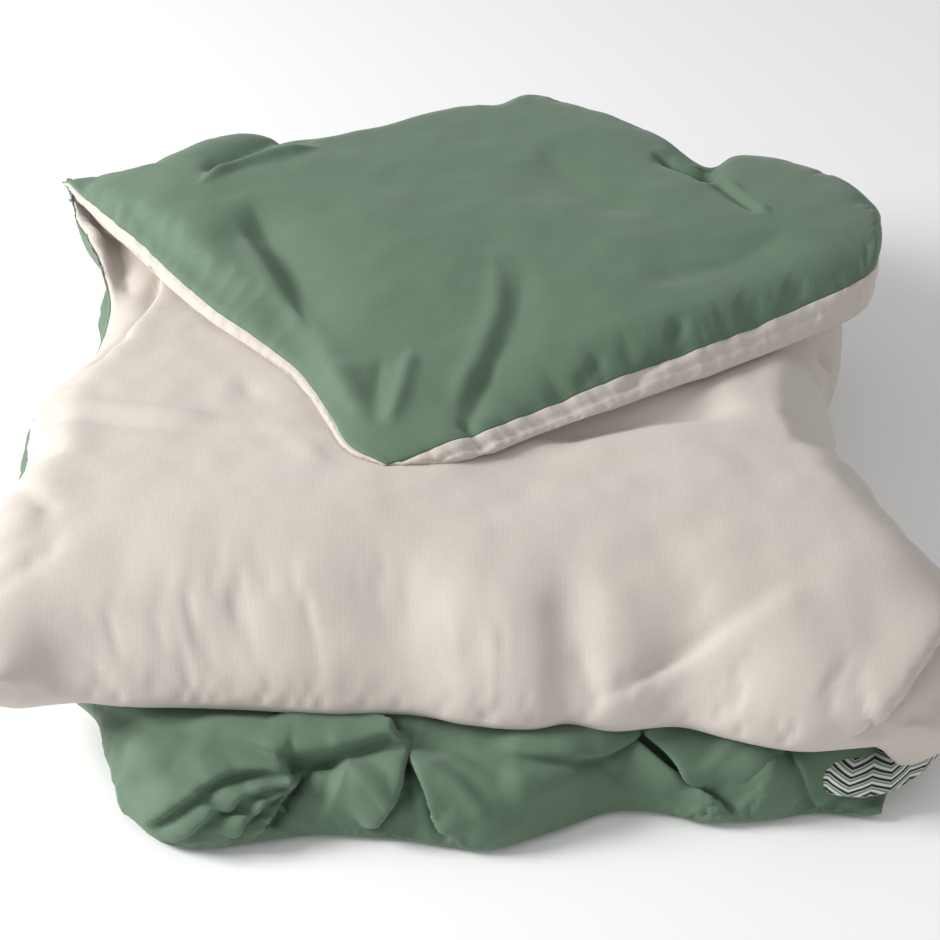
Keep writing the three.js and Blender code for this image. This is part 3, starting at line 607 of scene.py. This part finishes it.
def simulate(points, faces, hold, excess, stiffness):
    """Where each point of a slack, lightly blown up cover comes to rest."""
    piece = make_mesh("slack", points, faces, COVER)
    piece.vertex_groups.new(name="hold")
    for index, weight in enumerate(hold):
        piece.vertex_groups["hold"].add([index], float(weight), "REPLACE")
    cloth = piece.modifiers.new("cloth", "CLOTH")
    values = cloth.settings
    values.quality, values.mass = 5, 0.3
    values.tension_stiffness = values.compression_stiffness = 20
    values.shear_stiffness, values.bending_stiffness = 8, stiffness
    values.use_pressure, values.uniform_pressure_force = True, 4
    values.shrink_min = -excess
    values.vertex_group_mass, values.pin_stiffness = "hold", 2
    values.effector_weights.gravity = 0
    cloth.collision_settings.use_collision = False
    scene = bpy.context.scene
    for step in range(1, FRAMES + 1):
        scene.frame_set(step)
    evaluated = piece.evaluated_get(bpy.context.evaluated_depsgraph_get())
    moved = np.empty(len(points) * 3)
    evaluated.data.vertices.foreach_get("co", moved)
    bpy.data.objects.remove(piece)
    scene.frame_set(1)
    return moved.reshape(-1, 3) - np.array(DATUM)


UNDER_HOLD, RIM_HOLD, TOP_HOLD = 1.0, 0.35, 0.03     # how firmly each part keeps its place


def loosen(pad, excess, cap, stiffness):
    """Lets the cover's fabric buckle by cloth simulation, on every second line of the grid."""
    rows, columns = (np.unique(np.r_[0:n:2, n - 1]) for n in pad.shape)
    coarse = np.ix_(rows, columns)
    over, under = pad.over[coarse], pad.under[coarse]
    used, flat = np.unique(np.concatenate([over.ravel(), under.ravel()]), return_inverse=True)
    over, under = flat[:over.size].reshape(over.shape), flat[over.size:].reshape(over.shape)
    hold = np.full(len(used), UNDER_HOLD)
    hold[over.ravel()] = TOP_HOLD
    rim = np.intersect1d(over.ravel(), under.ravel())
    hold[rim] = RIM_HOLD
    faces = Pad.quads_of(over, False) + Pad.quads_of(under, True)
    start = pad.points[used]
    moved = simulate(start, faces, hold, excess, stiffness) - start
    length = np.maximum(np.linalg.norm(moved, axis=1, keepdims=True), 1e-9)
    moved *= cap * np.tanh(length / cap) / length
    fresh = pad.points.copy()
    for fine, sparse in ((pad.under, under), (pad.over, over)):
        shift = resampled(moved[sparse], rows, columns, pad.shape)
        fresh[fine.ravel()] = pad.points[fine.ravel()] + shift.reshape(-1, 3)
    pad.points = fresh


HEM_STITCH = 0.017               # from the seam to the line of stitches along the hem band
FOLD_ROOM = 0.7                  # share of a pad's thickness that a fold may take


def crease(pad, seam, lines, lumps, seed, hem=0.0):
    """Lays folds, soft lumps and the seam's stitched groove on a pad."""
    hem_groove, seam_groove, pucker_height = 0.0022, 0.0016, 0.0016
    normals = pad.normals()
    points = pad.points
    amount, shift = creases(points, normals, lines)
    size, height = lumps
    small = wander(points, size, seed)
    amount += height * small + 0.12 * height * wander(points, size * 0.35, seed + 5)
    amount -= hem_groove * np.exp(-(((seam + HEM_STITCH) / 0.003) ** 2)) * hem
    near = np.exp(-((seam / 0.022) ** 2))
    pucker = wander(points * np.array([1, 1, 0.2]), 0.028, seed + 9, 2)
    amount += pucker_height * near * pucker - seam_groove * np.exp(-((seam / 0.0028) ** 2))
    amount *= np.where(normals[:, 2] < -0.6, 0.15, 1.0)
    thickness = (points[pad.over] - points[pad.under])[..., 2]
    room = (FOLD_ROOM * pad.both(thickness) + 0.004) / np.maximum(normals[:, 2], 0.05)
    amount = np.where(normals[:, 2] > 0, np.maximum(amount, -room), amount)
    pad.points = points + normals * amount[:, None] + shift
    pad.points[:, 2] = np.maximum(pad.points[:, 2], LOWEST)
    sideways = np.linalg.norm(shift, axis=1)
    pad.core = points - normals * deepest(pad, np.minimum(amount, 0) - sideways)[:, None]


def deepest(pad, amount, reach=4):
    """For each point, how far in the deepest fold close to it goes."""
    sunk = np.zeros(len(amount))
    for face in (pad.over, pad.under):
        grid = np.maximum(-amount, 0)[face]
        for axis in (0, 1):
            grid = np.max([np.roll(grid, k, axis) for k in range(-reach, reach + 1)], axis=0)
        sunk[face.ravel()] = np.maximum(sunk[face.ravel()], grid.ravel())
    return sunk


# ---- Pieces --------------------------------------------------------------------------
THIN, HALF_THIN = 0.002, 0.0008   # below the first, an insert is laid flat, this far from the middle


def insert_copy(name, pad, depth, skip, material, front=0):
    """A smaller pad inside a cover, on every second line of its grid, with front more rows left out."""
    shrunk = pad.core - pad.normals() * depth
    keep = [np.unique(np.r_[skip + more:n - skip:2, n - skip - 1])
            for n, more in zip(pad.shape, (front, 0))]
    over, under = (face[np.ix_(*keep)] for face in (pad.over, pad.under))
    upper, lower = shrunk[over], shrunk[under]
    middle = (pad.points[over] + pad.points[under]) / 2
    thin = (upper[..., 2] - lower[..., 2] < THIN)[..., None]
    upper = np.where(thin, middle + np.array([0, 0, HALF_THIN]), upper)
    lower = np.where(thin, middle - np.array([0, 0, HALF_THIN]), lower)
    middle = (upper + lower) / 2
    inner = Pad(middle[..., 0], middle[..., 1], middle[..., 2], middle[..., 2])
    inner.points[inner.under.ravel()] = lower.reshape(-1, 3)
    inner.points[inner.over[1:-1, 1:-1].ravel()] = upper[1:-1, 1:-1].reshape(-1, 3)
    inner.points[np.intersect1d(inner.over, inner.under)] = \
        np.concatenate([middle[0], middle[1:-1][:, [0, -1]].reshape(-1, 3), middle[-1]])
    return make_mesh(name, inner.points, inner.faces, material,
                     {"across": inner.points[:, 0], "along": inner.points[:, 1]})


TICKING_IN, FILL_IN = (0.007, 7), (0.012, 9)   # depth inside the cover, and grid lines left out


def finish_pad(name, body, pad, seam, covers, layers, front=0):
    """A cover piece with its ticking and filling inside, in place of those CAD nodes."""
    cover = make_mesh(f"cover_{name}", pad.points, pad.faces, COVER, {"seam": seam})
    ticking = insert_copy(f"ticking_{name}", pad, *TICKING_IN, TICKING, front)
    fill = insert_copy(f"fill_{name}", pad, *FILL_IN, FIBRE, front)
    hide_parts(*covers)
    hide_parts(*(f"ticking_{side}_{layer}" for layer in layers for side in ("top", "bottom")))
    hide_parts(*(f"fill_{layer}" for layer in layers))
    for piece, slot in ((cover, "cover_green"), (ticking, "ticking"), (fill, "wadding")):
        if body:
            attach(piece, body)
        else:
            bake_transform(piece)
    return cover, ticking, fill


# Folds, each as (height, width, points of its line[, how soft its two ends are]). See creases().
UPPER_FOLDS = [
    (-0.02, 0.015, [(-0.448, 0.345, 0.23), (-0.45, 0.24, 0.234), (-0.47, 0.155, 0.238),
     (-0.505, 0.085, 0.236)]),
    (0.01, -0.007, [(-0.505, 0.085, 0.236), (-0.468, 0.154, 0.239), (-0.44, 0.233, 0.234),
     (-0.435, 0.34, 0.231)], (0.2, 0.1)),
    (-0.01, 0.009, [(-0.515, 0.19, 0.22), (-0.54, 0.13, 0.21), (-0.57, 0.09, 0.18)]),
    (-0.009, 0.012, [(-0.48, 0.27, 0.235), (-0.505, 0.35, 0.24), (-0.54, 0.43, 0.25)]),
    (0.005, 0.009, [(-0.5, 0.26, 0.22), (-0.525, 0.35, 0.24), (-0.57, 0.46, 0.255)]),
    (-0.004, 0.006, [(-0.446, 0.217, 0.236), (-0.4, 0.222, 0.24), (-0.34, 0.216, 0.24)]),
    (-0.004, 0.007, [(-0.447, 0.158, 0.239), (-0.397, 0.155, 0.239), (-0.357, 0.162, 0.24)]),
    (-0.009, 0.012, [(-0.6, -0.04, 0.18), (-0.57, -0.03, 0.22), (-0.513, -0.047, 0.244),
     (-0.429, -0.069, 0.246), (-0.331, -0.085, 0.247), (-0.178, -0.092, 0.247)]),
    (0.006, 0.016, [(-0.56, 0.0, 0.22), (-0.5, -0.018, 0.244), (-0.41, -0.04, 0.246),
     (-0.31, -0.055, 0.247)]),
    (-0.012, 0.01, [(-0.59, -0.165, 0.2), (-0.554, -0.191, 0.237), (-0.516, -0.241, 0.245),
     (-0.481, -0.263, 0.241)]),
    (-0.012, 0.01, [(-0.481, -0.263, 0.241), (-0.516, -0.284, 0.235), (-0.57, -0.314, 0.22),
     (-0.61, -0.33, 0.18)]),
    (-0.008, 0.008, [(-0.481, -0.268, 0.241), (-0.5, -0.305, 0.235), (-0.551, -0.345, 0.221),
     (-0.6, -0.37, 0.17)]),
    (0.007, 0.014, [(-0.6, -0.235, 0.19), (-0.56, -0.245, 0.228), (-0.51, -0.262, 0.245)]),
    (-0.026, 0.03, [(0.06, -0.105, 0.244), (0.154, -0.065, 0.244), (0.272, -0.03, 0.245),
     (0.377, -0.02, 0.244)]),
    (-0.006, 0.014, [(0.407, -0.35, 0.228), (0.312, -0.4, 0.21), (0.231, -0.44, 0.173),
     (0.15, -0.47, 0.136)]),
    (0.004, -0.008, [(0.13, -0.479, 0.13), (0.231, -0.452, 0.173), (0.312, -0.415, 0.21),
     (0.407, -0.364, 0.228)]),
    (-0.024, 0.01, [(0.435, 0.19, 0.236), (0.449, 0.174, 0.23), (0.473, 0.163, 0.205),
     (0.496, 0.16, 0.164), (0.5, 0.15, 0.13)]),
    (-0.02, 0.009, [(0.44, 0.196, 0.235), (0.47, 0.2, 0.215), (0.5, 0.215, 0.18), (0.515, 0.24, 0.13)]),
    (0.01, 0.011, [(0.44, 0.18, 0.235), (0.47, 0.181, 0.215), (0.502, 0.185, 0.17)]),
    (-0.006, 0.009, [(0.426, -0.141, 0.248), (0.449, -0.159, 0.246), (0.5, -0.16, 0.21),
     (0.53, -0.15, 0.16)]),
    (-0.008, 0.01, [(0.49, -0.04, 0.2), (0.455, -0.03, 0.235), (0.4, -0.035, 0.247)]),
    (-0.005, 0.03, [(-0.037, -0.179, 0.248), (0.112, -0.167, 0.248), (0.333, -0.195, 0.247)]),
    (-0.005, 0.03, [(-0.036, -0.309, 0.233), (0.107, -0.304, 0.236), (0.296, -0.324, 0.234)]),
    (-0.006, 0.018, [(-0.31, 0.06, 0.242), (-0.266, -0.05, 0.247), (-0.19, -0.15, 0.248)]),
    (0.005, 0.016, [(-0.3, 0.01, 0.242), (-0.245, -0.08, 0.247), (-0.17, -0.17, 0.248)]),
    (-0.006, 0.016, [(-0.224, 0.026, 0.241), (-0.179, -0.073, 0.247), (-0.087, -0.183, 0.248)]),
    (0.018, -0.009, [(0.575, -0.36, 0.2), (0.528, -0.425, 0.195), (0.475, -0.488, 0.165),
     (0.425, -0.515, 0.118)]),
    (-0.01, 0.009, [(0.443, -0.512, 0.12), (0.491, -0.5, 0.135), (0.55, -0.488, 0.13)]),
    (-0.006, 0.012, [(0.122, -0.422, 0.193), (0.138, -0.467, 0.156), (0.15, -0.478, 0.13)]),
]
LOWER_FOLDS = [
    (0.012, 0.018, [(-0.36, -0.45, 0.078), (-0.26, -0.456, 0.08), (-0.164, -0.468, 0.078),
     (-0.095, -0.474, 0.078)]),
    (0.012, -0.007, [(-0.076, -0.476, 0.078), (-0.11, -0.48, 0.077), (-0.15, -0.486, 0.076),
     (-0.225, -0.487, 0.077), (-0.3, -0.47, 0.078)], (0.08, 0.5)),
    (0.014, -0.007, [(-0.24, -0.438, 0.085), (-0.154, -0.436, 0.083), (-0.085, -0.464, 0.078)],
     (0.3, 0.1)),
    (0.009, 0.014, [(-0.21, -0.412, 0.087), (-0.1, -0.428, 0.083), (-0.02, -0.462, 0.078)]),
    (-0.034, 0.013, [(-0.218, -0.499, 0.076), (-0.181, -0.501, 0.072), (-0.14, -0.497, 0.076)],
     (0.1, 0.35)),
    (0.011, -0.006, [(-0.205, -0.5, 0.077), (-0.278, -0.516, 0.074), (-0.344, -0.55, 0.046),
     (-0.375, -0.551, 0.015)], (0.12, 0.2)),
    (0.011, -0.006, [(-0.202, -0.508, 0.077), (-0.262, -0.536, 0.064), (-0.345, -0.57, 0.015)],
     (0.12, 0.2)),
    (0.012, -0.006, [(-0.203, -0.515, 0.076), (-0.248, -0.548, 0.056), (-0.285, -0.574, 0.018)],
     (0.12, 0.2)),
    (0.011, -0.006, [(-0.196, -0.514, 0.075), (-0.226, -0.547, 0.052), (-0.252, -0.57, 0.015)],
     (0.12, 0.3)),
    (-0.02, 0.008, [(-0.186, -0.506, 0.072), (-0.209, -0.541, 0.052), (-0.232, -0.565, 0.015)],
     (0.1, 0.3)),
    (0.014, -0.007, [(-0.076, -0.474, 0.078), (-0.083, -0.51, 0.072), (-0.089, -0.535, 0.058),
     (-0.122, -0.558, 0.02)], (0.06, 0.15)),
    (0.012, -0.006, [(-0.015, -0.57, 0.02), (-0.052, -0.523, 0.067), (-0.072, -0.476, 0.078)],
     (0.15, 0.06)),
    (-0.026, 0.01, [(-0.076, -0.478, 0.078), (-0.074, -0.52, 0.067), (-0.07, -0.55, 0.04)], (0.08, 0.4)),
    (-0.016, 0.007, [(-0.072, -0.476, 0.078), (-0.025, -0.516, 0.068), (0.03, -0.556, 0.048)],
     (0.08, 0.3)),
    (-0.013, 0.009, [(-0.064, -0.474, 0.078), (-0.008, -0.497, 0.076), (0.062, -0.531, 0.061)],
     (0.08, 0.3)),
    (0.01, 0.01, [(-0.06, -0.492, 0.078), (-0.012, -0.535, 0.07), (0.03, -0.565, 0.03)]),
    (0.01, 0.01, [(-0.045, -0.482, 0.078), (0.0, -0.51, 0.07), (0.05, -0.546, 0.04)]),
    (0.016, 0.032, [(-0.165, -0.525, 0.072), (-0.135, -0.535, 0.066), (-0.112, -0.51, 0.07)]),
    (0.012, 0.022, [(0.02, -0.466, 0.078), (0.1, -0.468, 0.076), (0.18, -0.44, 0.08)]),
    (0.01, -0.008, [(0.208, -0.452, 0.08), (0.155, -0.48, 0.072), (0.085, -0.495, 0.074),
     (0.01, -0.494, 0.077)], (0.1, 0.5)),
    (0.01, 0.024, [(0.03, -0.535, 0.066), (0.1, -0.523, 0.068), (0.15, -0.509, 0.06)]),
    (0.012, -0.006, [(0.182, -0.462, 0.078), (0.228, -0.497, 0.056), (0.311, -0.533, 0.014)], (0.1, 0.2)),
    (0.016, -0.008, [(0.275, -0.522, 0.036), (0.243, -0.48, 0.067), (0.203, -0.448, 0.084)], (0.3, 0.1)),
    (-0.018, 0.006, [(0.195, -0.455, 0.08), (0.232, -0.488, 0.06), (0.266, -0.523, 0.03)]),
    (-0.012, 0.008, [(0.152, -0.487, 0.064), (0.199, -0.511, 0.037), (0.268, -0.529, 0.018)]),
    (0.012, 0.034, [(0.29, -0.46, 0.074), (0.33, -0.49, 0.066), (0.37, -0.5, 0.05)]),
    (0.007, -0.006, [(0.408, -0.525, 0.024), (0.39, -0.498, 0.043), (0.374, -0.462, 0.07)], (0.1, 0.1)),
    (-0.009, 0.014, [(-0.373, -0.494, 0.071), (-0.311, -0.523, 0.069), (-0.243, -0.508, 0.073)]),
    (0.009, 0.022, [(-0.41, -0.46, 0.071), (-0.36, -0.496, 0.069), (-0.28, -0.5, 0.073)]),
    (-0.008, 0.01, [(-0.405, -0.5, 0.05), (-0.36, -0.525, 0.055), (-0.31, -0.535, 0.06)]),
]
CORNER_FOLDS = [
    (-0.009, 0.026, [(0.061, 0.269, 0.324), (0.069, 0.17, 0.318), (0.053, 0.081, 0.308),
     (0.03, 0.004, 0.297), (0.01, -0.059, 0.283), (-0.009, -0.113, 0.274)], (0.4, 0.1)),
    (-0.01, 0.008, [(0.053, 0.081, 0.308), (0.03, 0.004, 0.297), (0.01, -0.059, 0.283),
     (-0.009, -0.125, 0.274)], (0.6, 0.05)),
    (0.008, 0.018, [(0.03, 0.27, 0.324), (0.036, 0.12, 0.318), (0.008, 0.004, 0.308),
     (-0.026, -0.09, 0.28)], (0.5, 0.2)),
    (-0.032, 0.05, [(-0.32, 0.4, 0.326), (-0.255, 0.23, 0.318), (-0.222, 0.11, 0.305),
     (-0.18, -0.01, 0.28)], (0.2, 0.45)),
    (0.012, 0.02, [(-0.334, 0.345, 0.326), (-0.24, 0.138, 0.312), (-0.175, 0.0, 0.289),
     (-0.12, -0.115, 0.272)]),
    (0.009, 0.012, [(-0.073, 0.043, 0.3), (-0.089, -0.05, 0.284), (-0.105, -0.125, 0.273)]),
    (-0.008, 0.016, [(-0.115, 0.02, 0.3), (-0.12, -0.06, 0.284), (-0.115, -0.12, 0.273)]),
    (0.007, 0.005, [(0.362, 0.462, 0.333), (0.401, 0.381, 0.331), (0.429, 0.318, 0.329)]),
    (-0.012, 0.011, [(0.345, 0.46, 0.333), (0.386, 0.385, 0.331), (0.412, 0.33, 0.329)]),
    (-0.018, 0.014, [(0.27, 0.528, 0.335), (0.312, 0.489, 0.333), (0.345, 0.475, 0.333),
     (0.37, 0.48, 0.332)]),
    (-0.021, 0.022, [(0.37, 0.6, 0.29), (0.36, 0.54, 0.325), (0.352, 0.48, 0.332), (0.33, 0.43, 0.332)]),
    (-0.021, 0.026, [(-0.27, 0.65, 0.29), (-0.29, 0.59, 0.325), (-0.34, 0.53, 0.332),
     (-0.4, 0.46, 0.33)]),
    (0.013, 0.011, [(-0.397, 0.427, 0.33), (-0.346, 0.483, 0.332), (-0.285, 0.515, 0.333),
     (-0.22, 0.54, 0.333)]),
    (-0.016, 0.026, [(-0.5, 0.43, 0.306), (-0.471, 0.353, 0.306), (-0.395, 0.247, 0.307),
     (-0.317, 0.152, 0.303)]),
    (-0.007, 0.007, [(0.135, -0.035, 0.283), (0.169, 0.016, 0.292), (0.186, 0.057, 0.299)], (0.1, 0.5)),
    (-0.007, 0.007, [(0.257, 0.05, 0.293), (0.28, 0.085, 0.302), (0.303, 0.119, 0.306)], (0.1, 0.5)),
    (-0.007, 0.008, [(0.02, -0.15, 0.268), (0.0, -0.125, 0.274), (-0.01, -0.09, 0.28)], (0.1, 0.5)),
    (-0.008, 0.008, [(0.18, -0.038, 0.262), (0.24, 0.02, 0.285), (0.3, 0.06, 0.29)]),
    (-0.008, 0.008, [(0.3, 0.04, 0.262), (0.35, 0.09, 0.285), (0.42, 0.13, 0.29)]),
    (-0.007, 0.03, [(0.1, 0.55, 0.33), (0.16, 0.42, 0.33), (0.26, 0.33, 0.33)]),
    (-0.007, 0.03, [(0.45, 0.3, 0.33), (0.36, 0.22, 0.32), (0.22, 0.16, 0.31)]),
]

upper_pad, upper_seam = upper_half()
lower_pad, lower_seam = lower_half()
corner_pad, corner_seam = turned_corner()
loosen(upper_pad, 0.025, 0.010, 1.0)
loosen(lower_pad, 0.030, 0.008, 1.0)
loosen(corner_pad, 0.020, 0.008, 1.5)
crease(upper_pad, upper_seam, UPPER_FOLDS, (0.20, 0.005), 1)
crease(lower_pad, lower_seam, LOWER_FOLDS, (0.10, 0.003), 2)
crease(corner_pad, corner_seam, CORNER_FOLDS, (0.20, 0.005), 3, hem=1.0)

upper = finish_pad("upper_half", "pile", upper_pad, upper_seam,
                   ["cover_beige_upper", "cover_green_upper", "cover_beige_foot_tuck",
                    "cover_green_foot_tuck", "cover_beige_side_fold"], ["upper", "foot_tuck"])
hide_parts("ticking_side_fold")
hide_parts("fill_side_fold")
finish_pad("lower_half", "pile", lower_pad, lower_seam,
           ["cover_green_lower", "cover_beige_lower", "cover_beige_head_tuck",
            "cover_green_head_tuck"], ["lower", "head_tuck"], SLACK_ROWS)
finish_pad("turned_corner", None, corner_pad, corner_seam,
           ["cover_green_corner", "cover_beige_corner", "cover_green_back_fold",
            "cover_beige_back_fold", "corner_hem_left", "corner_hem_right"], ["corner", "back_fold"])


# ---- Mouth: the cover's open end, with the insert's ticking showing in it ---------------
MOUTH_OUTER = [(0.0, 0.366, -0.432), (0.16, 0.376, -0.466), (0.32, 0.398, -0.496),
               (0.46, 0.43, -0.516), (0.58, 0.462, -0.518), (0.72, 0.496, -0.506),
               (0.86, 0.53, -0.484), (1.0, 0.556, -0.458)]
MOUTH_INNER = [(0.0, 0.42, -0.4), (0.3, 0.45, -0.405), (0.6, 0.49, -0.412), (1.0, 0.545, -0.415)]


def mouth():
    us, vs = spaced(60, 0.05, 0.05, 6), spaced(30, 0.25, 0.1, 8)
    outer, inner = line_of(MOUTH_OUTER, us), line_of(MOUTH_INNER, us)
    plan = outer[None] + (inner - outer)[None] * vs[:, None, None]
    u, v = np.meshgrid(us, vs)
    thick = rounded(v, 0.30) * rounded(u, 0.10) * rounded(1 - u, 0.12) * rounded(1 - v, 0.1)
    floor = 0.034 + 0.010 * smooth((u - 0.75) / 0.25) + 0.010 * smooth(1 - u / 0.30)
    high = floor + 0.003 + 0.024 * thick + 0.014 * v
    low = floor - 0.001 * thick
    pad = Pad(plan[..., 0], plan[..., 1], high, low)
    length, depth = 0.26, 0.085          # of the ticking, as its stripes run over it
    round_front = depth * (v + 0.35 * (rounded(v, 0.30) - 1))
    along, across = pad.both(u * length), pad.both(round_front)
    crease(pad, np.ones(len(pad.points)), [
        (-0.004, 0.007, [(0.405, -0.47, 0.05), (0.44, -0.505, 0.055), (0.50, -0.49, 0.06)])],
        (0.05, 0.0015), 4)
    ticking = make_mesh("ticking_mouth", pad.points, pad.faces, TICKING,
                        {"along": along, "across": across})
    fill = insert_copy("filling_mouth", pad, 0.003, 3, FIBRE)
    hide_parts("ticking_mouth_bottom", "ticking_mouth_top")
    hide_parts("fill_mouth")
    for piece, slot in ((ticking, "ticking"), (fill, "wadding")):
        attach(piece, "pile")


mouth()


def better_materials():
    """The CAD nodes that stay: the zip."""
    finishes = {"zip_tape": ZIP_TAPE, "zip_chain": ZIP_TEETH, "zip_bottom_stop": METAL,
                "zip_top_stop": METAL, "zip_slider": METAL, "zip_pull": METAL}
    for name in frame["nodes"]:
        for start, material in finishes.items():
            if name.startswith(start):
                piece = bpy.data.objects[name]
                for place in piece.material_slots:
                    place.material = material


better_materials()


# ---- Ties and loops: short cotton tapes that hold the insert in the cover's corners ----
TAPES = {"lower": (-0.560, -0.160, 0.046), "foot_tuck": (-0.560, -0.215, 0.130),
         "head_tuck": (-0.470, 0.390, 0.120), "corner": (-0.158, -0.040, 0.258)}


def tape(name, centre, heading):
    """A stitched tape: flat at its ends and arched in the middle, with a thickness."""
    half_length, width, rise, thickness = 0.008, 0.007, 0.0014, 0.0006
    run, across = np.linspace(-1, 1, 25), np.array([-0.5, 0.5])
    arch = rise * np.cos(run * math.pi / 2) ** 2
    along = np.array([math.cos(heading), math.sin(heading), 0]) * half_length
    beside_it = np.array([-along[1], along[0], 0]) / half_length * width
    rows = [centre + a * along + w * beside_it + np.array([0, 0, h])
            for a, h in zip(run, arch) for w in across]
    thick = np.array(rows) + np.array([0, 0, thickness])
    points = np.concatenate([rows, thick])
    n, faces = len(rows), []
    for k in range(len(run) - 1):
        a, b, c, d = 2 * k, 2 * k + 1, 2 * k + 3, 2 * k + 2
        faces += [(a, b, c, d), (a + n, d + n, c + n, b + n),
                  (a, d, d + n, a + n), (b, b + n, c + n, c)]
    last = n - 2
    faces += [(0, n, n + 1, 1), (last, last + 1, last + 1 + n, last + n)]
    return make_mesh(name, points, faces, TAPE)


for layer, place in TAPES.items():
    body = "turned_corner" if layer == "corner" else "pile"
    for kind, heading, offset in (("cover_tie", 0.7, 0.0), ("insert_loop", -0.8, 0.0022)):
        piece = tape(f"{kind}_tape_{layer}", np.array(place) + np.array([0.003, 0, offset]), heading)
        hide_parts(f"{kind}_{layer}")
        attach(piece, body)


# ---- Studio --------------------------------------------------------------------------
def studio():
    nodes = Nodes("studio_floor")
    nodes.finish(Base_Color=(0.95, 0.95, 0.95, 1), Roughness=0.9)
    mesh = bpy.data.meshes.new("floor")
    reach = 12
    mesh.from_pydata([(-reach, -reach, 0), (reach, -reach, 0), (reach, reach, 0), (-reach, reach, 0)],
                     [], [(0, 1, 2, 3)])
    mesh.materials.append(nodes.material)
    floor = bpy.data.objects.new("floor", mesh)
    bpy.context.collection.objects.link(floor)
    world = bpy.data.worlds.new("studio")
    world.use_nodes = True
    world.node_tree.nodes["Background"].inputs["Color"].default_value = (1, 1, 1, 1)
    world.node_tree.nodes["Background"].inputs["Strength"].default_value = 0.50
    bpy.context.scene.world = world
    for name, at, size, power in (("key", (-4.4, -0.3, 2.5), 1.8, 290),
                                  ("fill", (3.2, -3.4, 2.4), 2.5, 14)):
        data = bpy.data.lights.new(name, "AREA")
        data.size, data.energy = size, power
        light = bpy.data.objects.new(name, data)
        light.location = at
        light.rotation_euler = (-Vector(at)).to_track_quat("-Z", "Y").to_euler()
        bpy.context.collection.objects.link(light)
    bpy.context.scene.view_settings.view_transform = "Standard"


studio()
